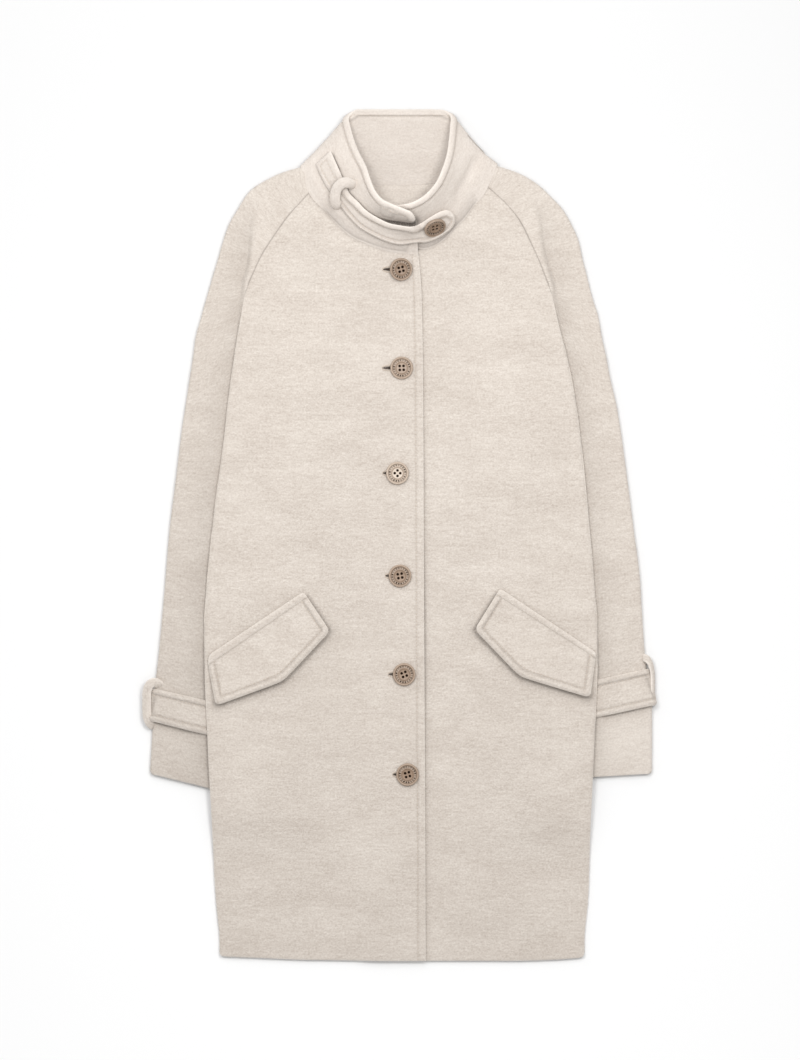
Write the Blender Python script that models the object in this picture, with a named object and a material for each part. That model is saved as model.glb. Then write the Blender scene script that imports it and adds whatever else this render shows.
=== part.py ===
"""High neck coat of felted wool, laid flat on its back with the sleeves tucked behind its sides.

Lengths are written in millimetres and turned into metres where a mesh is made.
+X is to the wearer's left, +Y runs from the hem to the collar, +Z is up from the surface it lies on.
Every cloth piece is a thin sheet laid out from its sections and given its wall by a Solidify modifier.
"""
import math

import bmesh
import bpy
import numpy as np
from mathutils import Matrix, Vector

MM = 0.001

# Driving dimensions, in millimetres.
CLOTH = 2.5            # wall of the felted wool
COLLAR_WALL = 5.0      # collar, cloth doubled
STRAP_WALL = 2.4       # straps and carrier loops
FLAP_WALL = 3.0        # pocket flaps, cloth doubled and pressed
SEAM_GAP = 0.4         # gap left between pieces sewn together
LAY_GAP = 0.8          # air between two layers lying on each other
STRAP_REST = 0.8       # air between the collar and the strap round it
BUTTON_WIDTH = 27.3
BUTTON_HEIGHT = 4.6
BUTTONHOLE_LENGTH = 30.0
BUTTONHOLE_WIDTH = 1.6
BUTTONHOLE_REACH = 22.0   # how far it runs to the outside of the button's centre

FLOOR_LAYER = CLOTH / 2                                 # middle of a sheet that lies on the floor
FRONT_LAYER = FLOOR_LAYER + CLOTH + LAY_GAP             # middle of the sheet above it
OVERLAP_RISE = CLOTH + SEAM_GAP                         # how much higher the right front lies over the left

# Side edges of the body, hem to underarm.
SIDE_EDGES = [
    # y, left_x, right_x
    (-485, -216.5, 221.3),
    (-438, -220.8, 225.6),
    (-342, -225.6, 228.6),
    (-246, -230.4, 232.8),
    (-150, -234.0, 236.4),
    (-110, -234.6, 236.4),
    (-70, -232.3, 233.6),
    (18, -223.8, 226.2),
    (114, -211.2, 216.6),
    (162, -205.8, 210.0),
    (210, -199.2, 201.0),
    (250, -192.5, 190.5),
    (290, -185.6, 181.5),
]
# Heights at which the body's panels have a row of points; they lie on each other, so all share these rows.
BODY_ROWS = [-485, -438, -400, -376, -352, -328, -298, -268, -214, -160, -135, -110, -70, -34, 42, 102, 162, 204,
             226, 248, 269, 290]

HEM = [
    # x, y
    (-215, -498), (-209, -502), (-197, -505), (-174, -507), (-96, -509.5), (31, -510.5), (120, -510.5),
    (192, -509.5), (210, -507.5), (218.5, -502),
]

# Raglan seams of the front, underarm to neck, as x, y.
RAGLAN_RIGHT = [(-185.6, 290), (-178, 309), (-166, 335), (-150, 360), (-131, 386), (-109, 410)]
RAGLAN_LEFT = [(181.5, 290), (175, 307), (167, 328), (157, 350), (145, 374), (133, 391), (118, 406), (104, 418)]
# Raglan seams of the back, underarm to neck, one side; the other is its mirror.
RAGLAN_BACK = [(-185.6, 290), (-178, 302), (-164, 323), (-144, 355), (-117, 393), (-84, 430)]

# Neck seams, from the raglan seam to the front edge, and the back neck, as x, y.
NECK_RIGHT = [(-109, 410), (-97, 396), (-84, 382), (-73, 371), (-58, 358.5), (-40, 350), (-19, 343), (-2, 340),
              (22, 338)]
NECK_LEFT = [(104, 418), (91, 401), (76, 379), (66, 370), (50, 354), (34, 345), (22, 342), (0, 344), (-27, 345)]
NECK_BACK = [(-84, 430), (-60, 424.5), (-30, 421), (0, 420), (30, 421), (60, 424.5), (84, 430)]

# Free front edges, hem to neck, as x, y.
EDGE_RIGHT = [(31, -511), (30.5, -366), (29, -78), (28, 162), (26, 290), (24, 318), (22, 338)]
EDGE_LEFT = [(-24, -511), (-25, -366), (-26, -78), (-27, 162), (-27, 290), (-27, 318), (-27, 345)]

# Where the body lies over the tucked sleeves: from full_x outwards it is lifted, inside clear_x it is not.
LIFT = [
    # y, full_x, clear_x, back_lift, front_lift
    (-511, 160, 60, 0.0, 0.0),
    (-400, 160, 60, 0.0, 0.0),
    (-328, 160, 60, 8.3, 8.3),
    (-268, 155, 55, 10.8, 10.8),
    (-160, 143, 45, 10.8, 10.8),
    (-110, 132, 35, 8.3, 8.3),
    (42, 118, 25, 8.3, 8.3),
    (162, 120, 25, 8.3, 8.3),
    (204, 140, 40, 8.3, 8.3),
    (248, 168, 60, 8.3, 8.6),
    (290, 176, 70, 0.0, 8.6),
    (335, 160, 60, 0.0, 5.6),
    (385, 130, 50, 0.0, 2.2),
    (420, 105, 40, 0.0, 0.4),
]
NECK_RISE = 3.5          # the front lifts this much towards the collar seam
NECK_HALF_WIDTH = 110
NECK_CENTRE_Y = 425
NECK_DEPTH = 86
NECK_RISE_REACH = 40

# Sleeve sections from neck to cuff. The sheet runs from its front edge over the outer fold to its back edge.
# Above the underarm the two edges are the raglan seams, below it both lie on the underarm seam.
# crease and width say where along a section the sheet falls from its front edge to its own level.
SLEEVE_RIGHT = [
    # front_x, front_y, outer_x, outer_y, back_x, back_y, level, crease, width, sewn
    (-109, 410, -124, 445, -84, 430, 11.0, 0.50, 0.90, 1),
    (-120, 399, -145, 433, -100, 413, 9.5, 0.60, 0.80, 1),
    (-131, 386, -166, 422, -117, 393, 8.0, 0.70, 0.60, 1),
    (-141, 373, -180, 412, -131, 374, 7.0, 0.72, 0.56, 1),
    (-150, 360, -194, 391, -144, 355, 6.5, 0.61, 0.50, 1),
    (-158, 348, -205, 372, -154, 339, 6.5, 0.42, 0.34, 1),
    (-166, 335, -212, 352, -164, 323, 6.5, 0.29, 0.24, 1),
    (-172, 322, -218, 331, -171, 312, 6.5, 0.20, 0.18, 1),
    (-178, 309, -224, 311, -178, 302, 6.5, 0.15, 0.16, 1),
    (-185.6, 293, -232, 283, -185.6, 293, 6.5, 0.10, 0.16, 0.95),
    (-188.5, 277, -239, 258, -188.5, 277, 6.5, 0.09, 0.16, 0.75),
    (-192.2, 258, -245, 236, -192.2, 258, 6.5, 0.08, 0.14, 0.22),
    (-185, 238, -248, 213, -185, 238, 6.5, 0.06, 0.12, 0),
    (-160, 212, -252, 187, -160, 212, 6.5, 0.05, 0.10, 0),
    (-138, 182, -257, 155, -138, 182, 6.5, 0.04, 0.08, 0),
    (-125, 142, -262, 122, -125, 142, 6.5, 0.04, 0.08, 0),
    (-121, 70, -268.5, 68, -121, 70, 6.5, 0.04, 0.08, 0),
    (-124, -10, -276.4, 5, -124, -10, 6.5, 0.04, 0.08, 0),
    (-132, -90, -282, -62, -132, -90, 6.5, 0.04, 0.08, 0),
    (-142, -160, -288, -130, -142, -160, 6.5, 0.04, 0.08, 0),
    (-150, -217, -293.5, -184, -150, -217, 6.5, 0.04, 0.08, 0),
    (-157, -268, -296.5, -232, -157, -268, 6.5, 0.04, 0.08, 0),
    (-166, -319, -299.8, -286, -166, -319, 6.5, 0.04, 0.08, 0),
]
SLEEVE_LEFT = [
    # front_x, front_y, outer_x, outer_y, back_x, back_y, level, crease, width, sewn
    (104, 418, 119, 444, 84, 430, 11.0, 0.50, 0.90, 1),
    (113, 410, 143, 433, 99, 414, 9.5, 0.60, 0.80, 1),
    (124, 400, 166, 419, 117, 393, 8.0, 0.70, 0.60, 1),
    (134, 389, 181, 405, 131, 374, 7.0, 0.60, 0.56, 1),
    (144, 376, 195, 390, 144, 355, 6.5, 0.40, 0.46, 1),
    (152, 361, 206, 371, 154, 339, 6.5, 0.28, 0.34, 1),
    (160, 343, 214, 353, 164, 323, 6.5, 0.20, 0.24, 1),
    (168, 325, 219, 330, 171, 312, 6.5, 0.15, 0.18, 1),
    (175, 307, 224, 311, 177, 303, 6.5, 0.11, 0.16, 1),
    (181.6, 292, 230, 286, 181.6, 292, 6.5, 0.10, 0.16, 0.95),
    (185.6, 277, 238, 260, 185.6, 277, 6.5, 0.09, 0.16, 0.75),
    (190.6, 256, 242, 236, 190.6, 256, 6.5, 0.08, 0.14, 0.22),
    (184, 236, 247, 213, 184, 236, 6.5, 0.06, 0.12, 0),
    (160, 210, 252, 187, 160, 210, 6.5, 0.05, 0.10, 0),
    (138, 180, 258, 162, 138, 180, 6.5, 0.04, 0.08, 0),
    (125, 140, 263.5, 132, 125, 140, 6.5, 0.04, 0.08, 0),
    (121, 68, 271.5, 75, 121, 68, 6.5, 0.04, 0.08, 0),
    (124, -8, 280, 8, 124, -8, 6.5, 0.04, 0.08, 0),
    (132, -75, 286, -52, 132, -75, 6.5, 0.04, 0.08, 0),
    (141, -135, 290, -108, 141, -135, 6.5, 0.04, 0.08, 0),
    (147, -192, 298, -160, 147, -192, 6.5, 0.04, 0.08, 0),
    (155, -238, 302, -206, 155, -238, 6.5, 0.04, 0.08, 0),
    (167, -294, 302, -286, 167, -294, 6.5, 0.04, 0.08, 0),
]
# Throat strap, from its sewn end on the collar's right side to its buttoned end: the place along the collar's
# length, the shares of the collar's height where its edges run, and how far they stand off it.
COLLAR_STRAP = [
    # place, low_rise, high_rise, low_off, high_off
    (150, 0.25, 0.61, 0.0, 0.0),
    (132, 0.235, 0.61, 0.0, 0.0),
    (113, 0.22, 0.60, 0.0, 0.0),
    (97, 0.20, 0.58, 0.0, 0.3),
    (81, 0.16, 0.585, 0.0, 0.8),
    (66, 0.10, 0.575, 0.0, 1.5),
    (51, 0.06, 0.54, 0.0, 3.0),
    (33, 0.045, 0.49, 0.2, 5.0),
    (16, 0.05, 0.50, 0.6, 5.0),
    (2, 0.08, 0.57, 1.8, 4.6),
    (478, 0.05, 0.56, 2.6, 3.8),
    (467, 0.03, 0.50, 1.0, 1.4),
    (457, 0.005, 0.42, 0.3, 0.4),
    (451, 0.005, 0.335, 0.3, 0.3),
    (447.5, 0.03, 0.25, 0.3, 0.3),
    (445.5, 0.08, 0.17, 0.3, 0.3),
]
STRAP_ACROSS = [0, 0.33, 0.67, 1]
STRAP_BUTTON_ROW = 10.4     # where along the rows above the strap's button sits
STRAP_BUTTON_ACROSS = 0.5

# Carrier loop over the throat strap: share of the collar's height and how far it stands off the collar's wall.
COLLAR_LOOP_PLACE = 100.0
COLLAR_LOOP_WIDTH = 11.0
COLLAR_LOOP = [
    # rise, off
    (0.10, 0.0), (0.15, 1.6), (0.20, 3.6), (0.30, 4.6), (0.40, 5.0), (0.50, 4.6), (0.60, 3.6), (0.65, 1.6),
    (0.70, 0.0),
]

# Pocket flaps and the welts above them, as x, y corners, from the seam's outer end round to the side edge.
FLAP_RIGHT = {"seam": [(-229.5, -155.5), (-111, -74)], "inner": (-83.5, -115), "point": (-139.5, -175),
              "outer": (-220, -204)}
FLAP_LEFT = {"seam": [(234, -146.5), (115.5, -70.5)], "inner": (89, -113), "point": (143, -169.5),
             "outer": (227, -194.5)}
WELT_RIGHT = [(-229.5, -141), (-117, -66)]      # upper edge
WELT_LEFT = [(234.5, -139), (121, -62)]
FLAP_COLUMNS = 8
FLAP_ROWS = 3
FLAP_GAP = 0.8

# Cuff straps: where their upper and lower edges start on the outer fold and how far in they reach.
CUFF_STRAP_RIGHT = {"upper": -184.0, "lower": -223.0}
CUFF_STRAP_LEFT = {"upper": -160.5, "lower": -204.0}
CUFF_STRAP_INSIDE = 0.42      # share of the section from the front edge where the strap starts
CUFF_STRAP_TURN = 112.0       # degrees it goes round the outer fold
# Carrier loops at the outer fold: along the fold from above the strap to below it.
CUFF_LOOP_RIGHT = {"upper": -174.5, "lower": -231.5, "reach": 10.2}
CUFF_LOOP_LEFT = {"upper": -149.5, "lower": -213.5, "reach": 5.6}
CUFF_LOOP = [
    # share of its length, share of its reach
    (0.0, 0.0), (0.07, 0.28), (0.15, 0.70), (0.3, 0.94), (0.5, 1.0), (0.7, 0.94), (0.85, 0.70), (0.93, 0.28), (1.0, 0.0),
]
CUFF_LOOP_TURNS = [28, 50, 75, 98]      # degrees round the fold that the loop's width takes up

# Buttons down the front: x, y, and lean to the side and to the hem in degrees.
BUTTONS = [
    # x, y, lean_x, lean_y
    (1, 318, 3, 4), (2, 200, 0, 0), (-3, 74, 0, 0), (0, -49, 0, 0), (5, -167, 0, 0), (9, -287, 0, 0),
]
BUTTON_PROFILE = [
    # share of the radius, share of the height
    (0.0, 0.0), (0.72, 0.0), (1.0, 0.42), (0.97, 0.86), (0.80, 1.0), (0.62, 0.66), (0.0, 0.60),
]
BUTTON_SIDES = 22
BUTTON_HOLE_WIDTH = 2.6
BUTTON_HOLE_PITCH = 5.6

# Where the sheet's columns lie: shares of the upper layer, turns round the outer fold, shares of the lower layer.
SLEEVE_UPPER = [0, 0.04, 0.09, 0.15, 0.22, 0.30, 0.40, 0.52, 0.68, 0.86]
SLEEVE_FOLD = [0, 45, 90, 135, 180]
SLEEVE_LOWER = [0.3, 0.65, 1.0]

# Collar sections from the upper lap's end round the back to the lower lap's end: base, top and, in between,
# how far the wall stands out from a straight line at a third and two thirds of its height.
COLLAR = [
    # base_x, base_y, base_z, top_x, top_y, top_z, low_out, high_out
    (21.5, 339.6, 13.4, 16.5, 382, 57, -7, -3),
    (-2, 341.6, 13.2, 4.8, 387, 58, -8, -4),
    (-19, 344.8, 12.6, -9.6, 393, 55, -8, -4),
    (-40, 351.9, 9.4, -22.8, 400.5, 49, -6, -3),
    (-58, 360.5, 8.8, -31, 412, 44, -4, -2),
    (-73, 373.2, 8.8, -35.5, 424, 40, -2, -1),
    (-88, 388.9, 9.0, -41, 441, 33, 0, 0),
    (-101, 404.5, 9.5, -48, 455, 28, 1, 1),
    (-112.3, 424, 10.2, -54, 470, 22.5, 1, 1),
    (-118.5, 439.5, 10.6, -59, 487, 17.5, 1, 1),
    (-120.8, 448.6, 6.5, -61, 501.5, 10, 0, 0),
    (-112.5, 445.5, 2.7, -55.5, 508.5, 3.2, 0, 0),
    (-86, 433.2, 2.5, -41, 510.4, 2.5, 0, 0),
    (-58, 426.3, 2.5, -27, 510.5, 2.5, 0, 0),
    (-29, 422.7, 2.5, -13, 510.5, 2.5, 0, 0),
    (0, 421.7, 2.5, 0, 510.5, 2.5, 0, 0),
    (29, 422.7, 2.5, 13, 510.5, 2.5, 0, 0),
    (58, 426.3, 2.5, 27, 510.5, 2.5, 0, 0),
    (86, 433.2, 2.5, 41, 510.4, 2.5, 0, 0),
    (108.5, 444.5, 2.7, 55, 508.5, 3.2, 0, 0),
    (116.3, 447.5, 6.5, 60.5, 502.5, 11, 0, 0),
    (113.8, 439.5, 10.6, 60, 489, 21, 0, 0),
    (107.2, 428, 10.2, 58.5, 472, 30, -3, -2),
    (98, 413.2, 9.5, 56, 454, 40, -7, -5),
    (87.8, 399.3, 9.0, 50.5, 436, 48, -9, -6),
    (73, 380.3, 8.8, 42, 418, 52, -8, -5),
    (63.7, 371, 8.8, 35, 409.5, 53.5, -7, -4),
    (47.7, 355.2, 8.8, 26, 401.5, 54, -7, -4),
    (32, 347.2, 8.6, 13.5, 395, 52, -8, -4),
    (14, 347.2, 7.6, 0, 392, 50, -9, -5),
    (-16, 349, 7.0, -14.5, 392, 48.5, -9, -5),
]
COLLAR_RISES = [0, 0.2, 0.4, 0.6, 0.8, 1]

UNDERARM_LAYER = FLOOR_LAYER + CLOTH + SEAM_GAP     # the upper layer's height at the underarm seam


def smooth_through(keys, values, at):
    """Cubic through (key, value) rows whose slopes never overshoot the rows; values may have columns."""
    keys = np.asarray(keys, float)
    values = np.asarray(values, float).reshape(len(keys), -1)
    at = np.clip(np.asarray(at, float), keys[0], keys[-1])
    step = np.diff(keys)[:, None]
    rate = np.diff(values, axis=0) / step
    slope = np.zeros_like(values)
    slope[0], slope[-1] = rate[0], rate[-1]
    before, after = rate[:-1], rate[1:]
    weight_a = 2 * step[1:] + step[:-1]
    weight_b = step[1:] + 2 * step[:-1]
    same = before * after > 0
    safe_before = np.where(same, before, 1.0)
    safe_after = np.where(same, after, 1.0)
    mean = (weight_a + weight_b) / (weight_a / safe_before + weight_b / safe_after)
    slope[1:-1] = np.where(same, mean, 0.0)
    i = np.clip(np.searchsorted(keys, at, side="right") - 1, 0, len(keys) - 2)
    h = step[i]
    t = ((at - keys[i])[..., None]) / h
    out = ((2 * t**3 - 3 * t**2 + 1) * values[i] + (t**3 - 2 * t**2 + t) * h * slope[i]
           + (3 * t**2 - 2 * t**3) * values[i + 1] + (t**3 - t**2) * h * slope[i + 1])
    return out[..., 0] if out.shape[-1] == 1 else out


def smooth_step(value, start, end):
    """0 before start, 1 after end, an S between."""
    t = np.clip((value - start) / (end - start), 0.0, 1.0)
    return t * t * (3 - 2 * t)


def along(points, at):
    """Points at fractions of the length of a curve drawn smoothly through the given points."""
    points = np.asarray(points, float)
    length = np.concatenate([[0], np.cumsum(np.linalg.norm(np.diff(points, axis=0), axis=1))])
    return smooth_through(length / length[-1], points, at)


def patch(bottom, top, left, right):
    """Grid spanned between four edges: bottom and top run left to right, left and right run upward."""
    s = np.linspace(0, 1, len(bottom))[None, :, None]
    t = np.linspace(0, 1, len(left))[:, None, None]
    between_rows = (1 - t) * bottom[None] + t * top[None]
    between_sides = (1 - s) * left[:, None] + s * right[:, None]
    corners = ((1 - s) * (1 - t) * bottom[0] + s * (1 - t) * bottom[-1]
               + (1 - s) * t * top[0] + s * t * top[-1])
    return between_rows + between_sides - corners


def lifts(x, y):
    """How far the back and the front are lifted at a place by the sleeves below them."""
    full_x, clear_x, back_lift, front_lift = np.moveaxis(
        smooth_through([row[0] for row in LIFT], [row[1:] for row in LIFT], y), -1, 0)
    share = smooth_step(np.abs(x), clear_x, full_x)
    return share * back_lift, share * front_lift


def back_height(x, y):
    """Middle of the back's sheet above the floor."""
    return FLOOR_LAYER + lifts(x, y)[0]


def front_height(x, y):
    """Middle of a front's sheet above the floor, without the overlap."""
    away = np.sqrt((x / NECK_HALF_WIDTH) ** 2 + ((y - NECK_CENTRE_Y) / NECK_DEPTH) ** 2) - 1
    away = np.clip(away, 0, None) * NECK_DEPTH / NECK_RISE_REACH
    return FRONT_LAYER + lifts(x, y)[1] + NECK_RISE * np.exp(-away**2)


def right_front_height(x, y):
    """The right front rises over the left one towards its free edge."""
    return front_height(x, y) + OVERLAP_RISE * smooth_step(x, -58, -30)


def out_of(grid):
    """Unit normals of a grid of points, rows then columns."""
    normal = np.cross(np.gradient(grid, axis=1), np.gradient(grid, axis=0))
    return normal / np.linalg.norm(normal, axis=2, keepdims=True)


def add_material(name, colour, roughness):
    """A plain material for a group of pieces."""
    material = bpy.data.materials.new(name)
    material.use_nodes = True
    shader = material.node_tree.nodes["Principled BSDF"]
    shader.inputs["Base Color"].default_value = (*colour, 1)
    shader.inputs["Roughness"].default_value = roughness
    material.diffuse_color = (*colour, 1)
    return material


def add_mesh(name, points, faces, material):
    """Object from points in millimetres."""
    mesh = bpy.data.meshes.new(name)
    mesh.from_pydata((np.asarray(points) * MM).tolist(), [], faces)
    mesh.update()
    thing = bpy.data.objects.new(name, mesh)
    bpy.context.scene.collection.objects.link(thing)
    mesh.materials.append(material)
    return thing


def add_sheet(name, grid, wall, material, closed=False):
    """A cloth piece: the grid of points is the middle of its wall."""
    rows, columns = grid.shape[:2]
    index = np.arange(rows * columns).reshape(rows, columns)
    if closed:
        index = np.concatenate([index, index[:, :1]], axis=1)
    faces = np.stack([index[:-1, :-1], index[:-1, 1:], index[1:, 1:], index[1:, :-1]], axis=-1).reshape(-1, 4)
    thing = add_mesh(name, grid.reshape(-1, 3), faces.tolist(), material)
    solid = thing.modifiers.new("wall", "SOLIDIFY")
    solid.thickness = wall * MM
    solid.offset = 0.0
    solid.use_even_offset = True
    solid.use_quality_normals = True
    return thing


def with_height(plan, height):
    """Add a height to a grid of x, y."""
    return np.concatenate([plan, height(plan[..., 0], plan[..., 1])[..., None]], axis=-1)


def x_on(edge, y):
    """Where an edge given as x, y points lies at a height."""
    return smooth_through([p[1] for p in edge], [p[0] for p in edge], y)


for leftover in list(bpy.data.objects):
    bpy.data.objects.remove(leftover, do_unlink=True)

wool = {}
for piece, shade in [("back", 0.60), ("front_right", 0.66), ("front_left", 0.64), ("sleeve_right", 0.58),
                     ("sleeve_left", 0.58), ("collar", 0.64), ("strap", 0.68), ("pocket", 0.70)]:
    wool[piece] = add_material("felted wool " + piece, (shade, shade * 0.91, shade * 0.82), 0.95)
horn = add_material("turned brown button", (0.25, 0.14, 0.09), 0.45)

SIDE_COLUMNS = 9       # columns from a side edge to the overlap
LAP_COLUMNS = 2        # columns across the overlap
YOKE_ROWS = 6          # rows from the underarm to the neck

# One lattice of places for the whole body below the underarm: side, overlap, side.
rows = np.array(BODY_ROWS, float)
side_y = [row[0] for row in SIDE_EDGES]
left_x = smooth_through(side_y, [row[1] for row in SIDE_EDGES], rows)
right_x = smooth_through(side_y, [row[2] for row in SIDE_EDGES], rows)
stops = np.stack([left_x, x_on(EDGE_LEFT, rows), x_on(EDGE_RIGHT, rows), right_x], axis=1)
hem_stops = np.array([[HEM[0][0], EDGE_LEFT[0][0], EDGE_RIGHT[0][0], HEM[-1][0]]])
stops = np.concatenate([hem_stops, stops])
share = np.concatenate([np.linspace(0, 1, SIDE_COLUMNS + 1), 1 + np.linspace(0, 1, LAP_COLUMNS + 1)[1:],
                        2 + np.linspace(0, 1, SIDE_COLUMNS + 1)[1:]])
body_x = np.stack([np.interp(share, range(4), row) for row in stops])
hem_y = np.interp(body_x[0], [p[0] for p in HEM], [p[1] for p in HEM])
body_y = np.concatenate([hem_y[None], np.repeat(rows[:, None], len(share), axis=1)])
body = np.stack([body_x, body_y], axis=-1)
RIGHT_PART = slice(0, SIDE_COLUMNS + LAP_COLUMNS + 1)
LEFT_PART = slice(SIDE_COLUMNS, None)
up = np.linspace(0, 1, YOKE_ROWS + 1)


def with_yoke(plan, top, left, right):
    """Carry a panel's places on from the underarm row up to its neck seam."""
    across = (plan[-1] - plan[-1, 0]) @ [1, 0]
    across = across / across[-1]
    return np.concatenate([plan, patch(plan[-1], along(top, across), along(left, up), along(right, up))[1:]])


mirror = np.array([-1.0, 1.0])
raglan_back_left = np.array(RAGLAN_BACK) * mirror
raglan_back_left[0] = body[-1, -1]
back_plan = with_yoke(body, NECK_BACK, RAGLAN_BACK, raglan_back_left)
back_plan[0, :, 1] += 2.5
add_sheet("back", with_height(back_plan, back_height), CLOTH, wool["back"])

free_right = [(x_on(EDGE_RIGHT, 290), 290)] + EDGE_RIGHT[-2:]
right_plan = with_yoke(body[:, RIGHT_PART], NECK_RIGHT, RAGLAN_RIGHT, free_right)
front_right = add_sheet("front_right", with_height(right_plan, right_front_height), CLOTH, wool["front_right"])

free_left = [(x_on(EDGE_LEFT, 290), 290)] + EDGE_LEFT[-2:]
left_plan = with_yoke(body[:, LEFT_PART], NECK_LEFT[::-1], free_left, RAGLAN_LEFT)
add_sheet("front_left", with_height(left_plan, front_height), CLOTH, wool["front_left"])


def sleeve_sheet(table, upper, fold, lower):
    """Sheet of a flattened sleeve: from the front edge over the outer fold to the back edge, section by section."""
    data = np.array(table, float)
    front, outer, back = data[:, 0:2], data[:, 2:4], data[:, 4:6]
    level, crease, width, sewn = data[:, 6:].T[..., None]
    to_front = (front - outer) / np.linalg.norm(front - outer, axis=1, keepdims=True)
    to_back = (back - outer) / np.linalg.norm(back - outer, axis=1, keepdims=True)
    edge_height = sewn * front_height(front[:, :1], front[:, 1:]) + (1 - sewn) * UNDERARM_LAYER
    front = front - to_front * 2.5 * SEAM_GAP
    back = back - to_back * 2.5 * SEAM_GAP
    tip = outer + to_front * CLOTH / 2
    radius = (level - FLOOR_LAYER) / 2
    columns = []
    for share in upper:
        plan = front + (tip + to_front * radius - front) * share
        fall = smooth_step(share, crease - width / 2, crease + width / 2)
        columns.append(np.concatenate([plan, edge_height + (level - edge_height) * fall], axis=1))
    for turn in np.radians(fold):
        side = to_front if turn <= math.pi / 2 else to_back
        plan = tip + side * radius * (1 - math.sin(turn))
        columns.append(np.concatenate([plan, FLOOR_LAYER + radius + radius * math.cos(turn)], axis=1))
    for share in lower:
        start = tip + to_back * radius
        plan = start + (back - start) * share
        columns.append(np.concatenate([plan, np.full_like(level, FLOOR_LAYER)], axis=1))
    return np.stack(columns, axis=1)


add_sheet("sleeve_right", sleeve_sheet(SLEEVE_RIGHT, SLEEVE_UPPER, SLEEVE_FOLD, SLEEVE_LOWER), CLOTH,
          wool["sleeve_right"])
add_sheet("sleeve_left", sleeve_sheet(SLEEVE_LEFT, SLEEVE_UPPER, SLEEVE_FOLD, SLEEVE_LOWER)[:, ::-1], CLOTH,
          wool["sleeve_left"])


def curve_through(keys, values, at):
    """Round curve through points: each slope is that of the parabola through a point and its neighbours."""
    keys = np.asarray(keys, float)
    step = np.diff(keys)[:, None]
    rate = np.diff(values, axis=0) / step
    slope = np.empty_like(values)
    slope[1:-1] = (rate[:-1] * step[1:] + rate[1:] * step[:-1]) / (step[:-1] + step[1:])
    slope[0] = 2 * rate[0] - slope[1]
    slope[-1] = 2 * rate[-1] - slope[-2]
    i = np.clip(np.searchsorted(keys, at, side="right") - 1, 0, len(keys) - 2)
    h = step[i]
    t = (at - keys[i])[:, None] / h
    return ((2 * t**3 - 3 * t**2 + 1) * values[i] + (t**3 - 2 * t**2 + t) * h * slope[i]
            + (3 * t**2 - 2 * t**3) * values[i + 1] + (t**3 - t**2) * h * slope[i + 1])


collar_table = np.array(COLLAR, float)
collar_middle = (collar_table[:, 0:3] + collar_table[:, 3:6]) / 2
collar_keys = np.concatenate([[0], np.cumsum(np.linalg.norm(np.diff(collar_middle, axis=0), axis=1))])


def collar_sheet(places, rises):
    """Middle of the collar's wall at places along its length (in mm) and shares of its height."""
    places = np.asarray(places, float)
    row = curve_through(collar_keys, collar_table, places)
    heights = [2, 5]
    row[:, heights] = smooth_through(collar_keys, collar_table[:, heights], places)
    base, top, low_out, high_out = row[:, 0:3], row[:, 3:6], row[:, 6:7], row[:, 7:8]
    out = np.cross(top - base, np.gradient((base + top) / 2, places, axis=0))
    out /= np.linalg.norm(out, axis=1, keepdims=True)
    sheet = []
    for rise in rises:
        low = 6.75 * rise * (1 - rise) ** 2
        high = 6.75 * rise**2 * (1 - rise)
        sheet.append(base + (top - base) * rise + out * (low_out * low + high_out * high))
    return np.stack(sheet)


COLLAR_STEP = 14.0
places = np.concatenate([np.linspace(a, b, max(1, math.ceil((b - a) / COLLAR_STEP)) + 1)[:-1]
                         for a, b in zip(collar_keys[:-1], collar_keys[1:])] + [collar_keys[-1:]])
add_sheet("collar", collar_sheet(places, COLLAR_RISES), COLLAR_WALL, wool["collar"])


def off_collar(place, rises, off):
    """Points that stand off the collar's outside by a distance, at one place along it."""
    near = collar_sheet([place - 1.0, place, place + 1.0], np.concatenate([rises, np.asarray(rises) + 0.01]))
    count = len(rises)
    middle = near[:count, 1]
    out = np.cross(near[count:, 1] - middle, near[:count, 2] - near[:count, 0])
    out /= np.linalg.norm(out, axis=1, keepdims=True)
    return middle + out * (COLLAR_WALL / 2 + STRAP_REST + STRAP_WALL / 2 + np.asarray(off)[:, None])


share = np.array(STRAP_ACROSS)
strap = np.stack([off_collar(place, low + (high - low) * share, low_off + (high_off - low_off) * share)
                  for place, low, high, low_off, high_off in COLLAR_STRAP])
strap_keys = np.concatenate([[0], np.cumsum(np.linalg.norm(np.diff(strap.mean(axis=1), axis=0), axis=1))])
strap_stops = np.interp(np.arange(0, len(strap) - 0.75, 0.5), range(len(strap)), strap_keys)
strap_sheet = curve_through(strap_keys, strap.reshape(len(strap), -1), strap_stops).reshape(len(strap_stops), -1, 3)
add_sheet("collar_strap", strap_sheet, STRAP_WALL, wool["strap"])

loop_rises = np.array([row[0] for row in COLLAR_LOOP])
loop_off = np.array([row[1] for row in COLLAR_LOOP])
loop = np.stack([off_collar(COLLAR_LOOP_PLACE + side * COLLAR_LOOP_WIDTH / 2, loop_rises, loop_off)
                 for side in (-1, 0, 1)])
add_sheet("collar_loop", loop, STRAP_WALL, wool["strap"])


def on_panel(plan, panel):
    """Height of a panel's middle at places on it, read off its rows of points below the underarm."""
    rows = len(BODY_ROWS) + 1
    row_y = panel[:rows, 0, 1].copy()
    places = plan.reshape(-1, 2)
    height = []
    for x, y in places:
        i = int(np.clip(np.searchsorted(row_y, y) - 1, 0, rows - 2))
        t = (y - row_y[i]) / (row_y[i + 1] - row_y[i])
        low = np.interp(x, panel[i, :, 0], panel[i, :, 2])
        high = np.interp(x, panel[i + 1, :, 0], panel[i + 1, :, 2])
        height.append(low + (high - low) * t)
    return np.reshape(height, plan.shape[:-1])


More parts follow.
